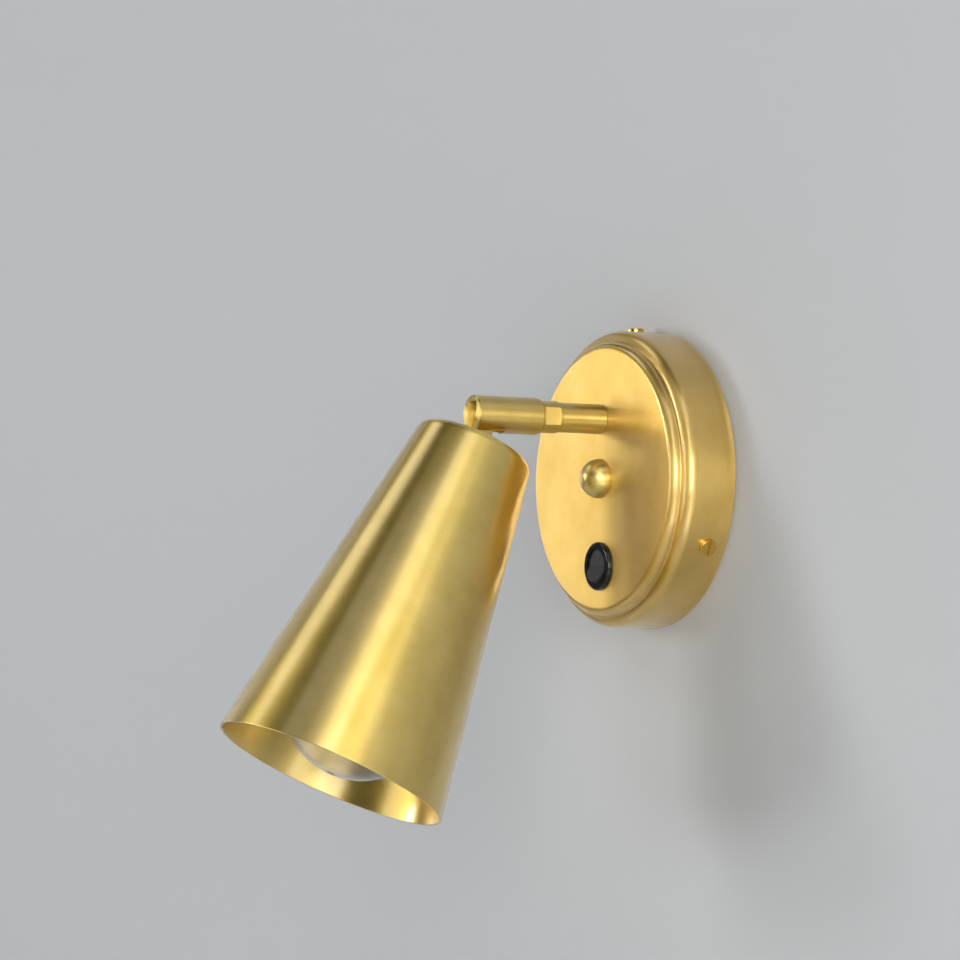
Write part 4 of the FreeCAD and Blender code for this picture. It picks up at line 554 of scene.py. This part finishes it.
# Shade and filament are made with +Z down the shade and the pivot at 0, then put in place.
ON_SHADE = Matrix.Translation(PIVOT) @ Matrix.Rotation(math.pi - SHADE_LEAN, 4, "X")
SHADE_TOP_RADIUS = 23.6 * MM
SHADE_MOUTH_RADIUS = 46.5 * MM
SHADE_TOP_AT = 13.5 * MM                # down the shade, from the pivot
SHADE_MOUTH_AT = 157.5 * MM
SHADE_WALL = 1.0 * MM
SHADE_SLOPE = (SHADE_MOUTH_RADIUS - SHADE_TOP_RADIUS) / (SHADE_MOUTH_AT - SHADE_TOP_AT)
shade = grow("spun_shade", shade_tree(), {
    "Hole radius": 5.15 * MM, "Top radius": SHADE_TOP_RADIUS,
    "Mouth radius": SHADE_MOUTH_RADIUS, "Top height": SHADE_TOP_AT,
    "Mouth height": SHADE_MOUTH_AT, "Slope": SHADE_SLOPE, "Wall": SHADE_WALL,
    "Wall across": SHADE_WALL * math.hypot(1, SHADE_SLOPE), "Shoulder": 4.0 * MM,
    "Rim rounding": 0.3 * MM, "Steps": SHADE_STEPS, "Material": SHADE_BRASS}, ON_SHADE)
stand_for(shade, "shade_head", "satin_brass", "shade")

screws = grow("slotted_side_screws", screws_tree(), {
    "Head radius": 3.5 * MM, "Head height": 1.6 * MM, "Shank radius": 2.0 * MM,
    "Shank length": 8.0 * MM, "Edge": 0.35 * MM, "Slot width": 1.0 * MM, "Slot depth": 0.9 * MM,
    "Count": 3, "First angle": math.radians(91), "Ring radius": ROSE_RADIUS,
    "Out of wall": 8.7 * MM, "Material": SCREW_BRASS})
stand_for(screws, "wall_part", "satin_brass", "side_screws")

filament = grow("coiled_filament", filament_tree(), {
    "Half span": 12 * MM, "Height": 116.8 * MM, "Sag": 3.0 * MM, "Coil radius": 0.23 * MM,
    "Wire radius": 0.07 * MM, "Turns": 70, "Material": TUNGSTEN}, ON_SHADE)
stand_for(filament, "shade_head", "tungsten", "bulb_filament")


# ---- stage: wall and floor ----

WALL_COLOUR = "#C0C2C4"
WALL_GAP = 0.5 * MM                     # between the lamp's back and the wall that is shown
WALL_HALF_WIDTH = 1.7
WALL_TOP = 1.8
FLOOR_LEVEL = -1.0
FLOOR_HALF_WIDTH = 4.0
FLOOR_COLOUR = "#D6D6D4"
FLOOR_SEEN = "#C4C5C6"                  # the even colour that the camera sees most of
FLOOR_SEEN_SHARE = 0.8
PASSES_WITHIN = 3 * MM                  # light that starts this near the wall goes through it


def stage_plane(name, corners, material):
    """A flat piece of the stage, not part of the lamp."""
    mesh = bpy.data.meshes.new(name)
    mesh.from_pydata(corners, [], [(0, 1, 2, 3)])
    mesh.materials.append(material)
    plane = bpy.data.objects.new(name, mesh)
    bpy.context.scene.collection.objects.link(plane)


def painted_wall():
    """Pale matt wall paint: an even grey that takes the lamp's soft shadow. It is seen only from
    its front, so that views from behind show the lamp's back, and light that starts at the lamp's
    back passes through it."""
    material, tree, shader = new_material("matt_wall_paint")
    geometry = add(tree, "ShaderNodeNewGeometry")
    path = add(tree, "ShaderNodeLightPath")
    close = add(tree, "ShaderNodeMath", {"operation": "LESS_THAN"}, in0=path.outputs["Ray Length"],
                in1=PASSES_WITHIN).outputs[0]
    open_side = add(tree, "ShaderNodeMath", {"operation": "MAXIMUM"},
                    in0=geometry.outputs["Backfacing"], in1=close).outputs[0]
    clear = add(tree, "ShaderNodeBsdfTransparent").outputs[0]
    set_shader(shader, Base_Color=linear(WALL_COLOUR), Roughness=0.9, Specular_IOR_Level=0.2)
    mix = add(tree, "ShaderNodeMixShader", in0=open_side, in1=shader.outputs[0], in2=clear)
    tree.links.new(mix.outputs[0], tree.nodes["Material Output"].inputs["Surface"])
    return material


def pale_floor():
    """Pale matt floor paint. Most of what the camera sees of it is its own even colour, so that the
    part of the floor that no light reaches isn't dark."""
    material, tree, shader = new_material("pale_floor_paint")
    set_shader(shader, Base_Color=linear(FLOOR_COLOUR), Roughness=0.85)
    seen = add(tree, "ShaderNodeLightPath").outputs["Is Camera Ray"]
    share = add(tree, "ShaderNodeMath", {"operation": "MULTIPLY"}, in0=seen,
                in1=FLOOR_SEEN_SHARE).outputs[0]
    even = add(tree, "ShaderNodeEmission", Color=linear(FLOOR_SEEN)).outputs[0]
    mix = add(tree, "ShaderNodeMixShader", in0=share, in1=shader.outputs[0], in2=even)
    tree.links.new(mix.outputs[0], tree.nodes["Material Output"].inputs["Surface"])
    return material


stage_plane("wall", [(-WALL_HALF_WIDTH, WALL_GAP, FLOOR_LEVEL),
                     (WALL_HALF_WIDTH, WALL_GAP, FLOOR_LEVEL),
                     (WALL_HALF_WIDTH, WALL_GAP, WALL_TOP),
                     (-WALL_HALF_WIDTH, WALL_GAP, WALL_TOP)], painted_wall())
stage_plane("floor", [(x * FLOOR_HALF_WIDTH, y * FLOOR_HALF_WIDTH, FLOOR_LEVEL)
                      for x, y in ((-1, -1), (1, -1), (1, 1), (-1, 1))], pale_floor())


# ---- lights and world ----

LAMP_MIDDLE = Vector((0, -0.09, -0.03))
# each box is its distance from the lamp's middle, its width and its height
SOFTBOX = (2.4, 0.85, 0.92)
KEY_BOX = (2.4, 0.38, 0.55)
LOW_BOX = (1.2, 0.42, 0.46)             # near, to stay over the floor
# Azimuth and elevation in degrees, the box, and the strength. The key boxes draw the brightest
# bands on the shade and the rose, the others fill in between them, the low ones reach into the
# shade's mouth, and the rear one is for views from behind.
LIGHTS = {
    "key_level": (-27, 0, *KEY_BOX, 15.0),
    "key_left": (-37, 13, *KEY_BOX, 12.5),
    "front": (-10, 3, *SOFTBOX, 2.9),
    "right_level": (55, 3, *SOFTBOX, 3.9),
    "right_far": (75, 3, *SOFTBOX, 7.0),
    "right_high": (60, 25, *SOFTBOX, 2.8),
    "right_top_far": (75, 47, *SOFTBOX, 1.5),
    "right_top": (50, 47, *SOFTBOX, 1.0),
    "front_top": (20, 47, *SOFTBOX, 0.7),
    "left_top": (-45, 47, *SOFTBOX, 1.7),
    "left_far": (-75, 3, *SOFTBOX, 1.5),
    "left_far_high": (-75, 25, *SOFTBOX, 0.45),
    "low_far_right": (85, -25, *LOW_BOX, 2.2),
    "low_right": (60, -25, *LOW_BOX, 1.0),
    "rear": (160, 25, *SOFTBOX, 2.5),
}
PALE_ROOM = "#B9BBBD"
DARK_ROOM = (0.03, 0.03, 0.03, 1)


def soft_light(name, azimuth, elevation, distance, width, height, strength):
    """A soft box that faces the lamp. Azimuth 0 is straight in front of the wall, plus is to the
    right. strength is the radiance it shows, so that its power goes with its area."""
    light = bpy.data.lights.new(name, "AREA")
    light.shape = "RECTANGLE"
    light.size = width
    light.size_y = height
    light.energy = strength * width * height * math.pi
    lamp = bpy.data.objects.new(name, light)
    bpy.context.scene.collection.objects.link(lamp)
    turn, rise = math.radians(azimuth), math.radians(elevation)
    away = Vector((math.sin(turn) * math.cos(rise), -math.cos(turn) * math.cos(rise),
                   math.sin(rise)))
    lamp.location = LAMP_MIDDLE + away * distance
    lamp.rotation_euler = away.to_track_quat("Z", "Y").to_euler()
    lamp.visible_camera = False


def studio_world():
    """A pale room for the camera, for what glass shows and for all that heads behind the wall. In
    front of the wall the brass reflects a dark room between the lights, which gives it its dark
    bands."""
    world = bpy.data.worlds.new("studio")
    bpy.context.scene.world = world
    world.use_nodes = True
    tree = world.node_tree
    path = add(tree, "ShaderNodeLightPath").outputs
    seen = add(tree, "ShaderNodeMath", {"operation": "MAXIMUM"}, in0=path["Is Camera Ray"],
               in1=path["Is Transmission Ray"]).outputs[0]
    heading = add(tree, "ShaderNodeTexCoord").outputs["Generated"]
    inward = add(tree, "ShaderNodeVectorMath", {"operation": "DOT_PRODUCT"}, in0=heading,
                 in1=(0, 1, 0)).outputs["Value"]
    behind = add(tree, "ShaderNodeMath", {"operation": "GREATER_THAN"}, in0=inward,
                 in1=0).outputs[0]
    pale = add(tree, "ShaderNodeMath", {"operation": "MAXIMUM"}, in0=seen, in1=behind).outputs[0]
    shown = add(tree, "ShaderNodeMix", {"data_type": "RGBA"}, Factor=pale, in6=DARK_ROOM,
                in7=linear(PALE_ROOM)).outputs[2]
    tree.links.new(shown, tree.nodes["Background"].inputs["Color"])


for light_name, values in LIGHTS.items():
    soft_light(light_name, *values)
studio_world()


# ---- camera: stands where the photo's camera stood, as fitted to points of the lamp ----

CAMERA_PLACE = (1.15761, -0.70981, -0.08263)
CAMERA_RISE = 0.061                     # radians over level
CAMERA_TURN = 1.0734                    # radians to the left of facing the wall
LENS = 125.06                           # both in millimetres
SENSOR = 36
camera_data = bpy.data.cameras.new("camera")
camera_data.lens = LENS
camera_data.sensor_width = SENSOR
camera = bpy.data.objects.new("camera", camera_data)
bpy.context.scene.collection.objects.link(camera)
camera.location = CAMERA_PLACE
camera.rotation_euler = (math.pi / 2 + CAMERA_RISE, 0, CAMERA_TURN)
bpy.context.scene.camera = camera
bpy.context.scene.view_settings.view_transform = "Standard"
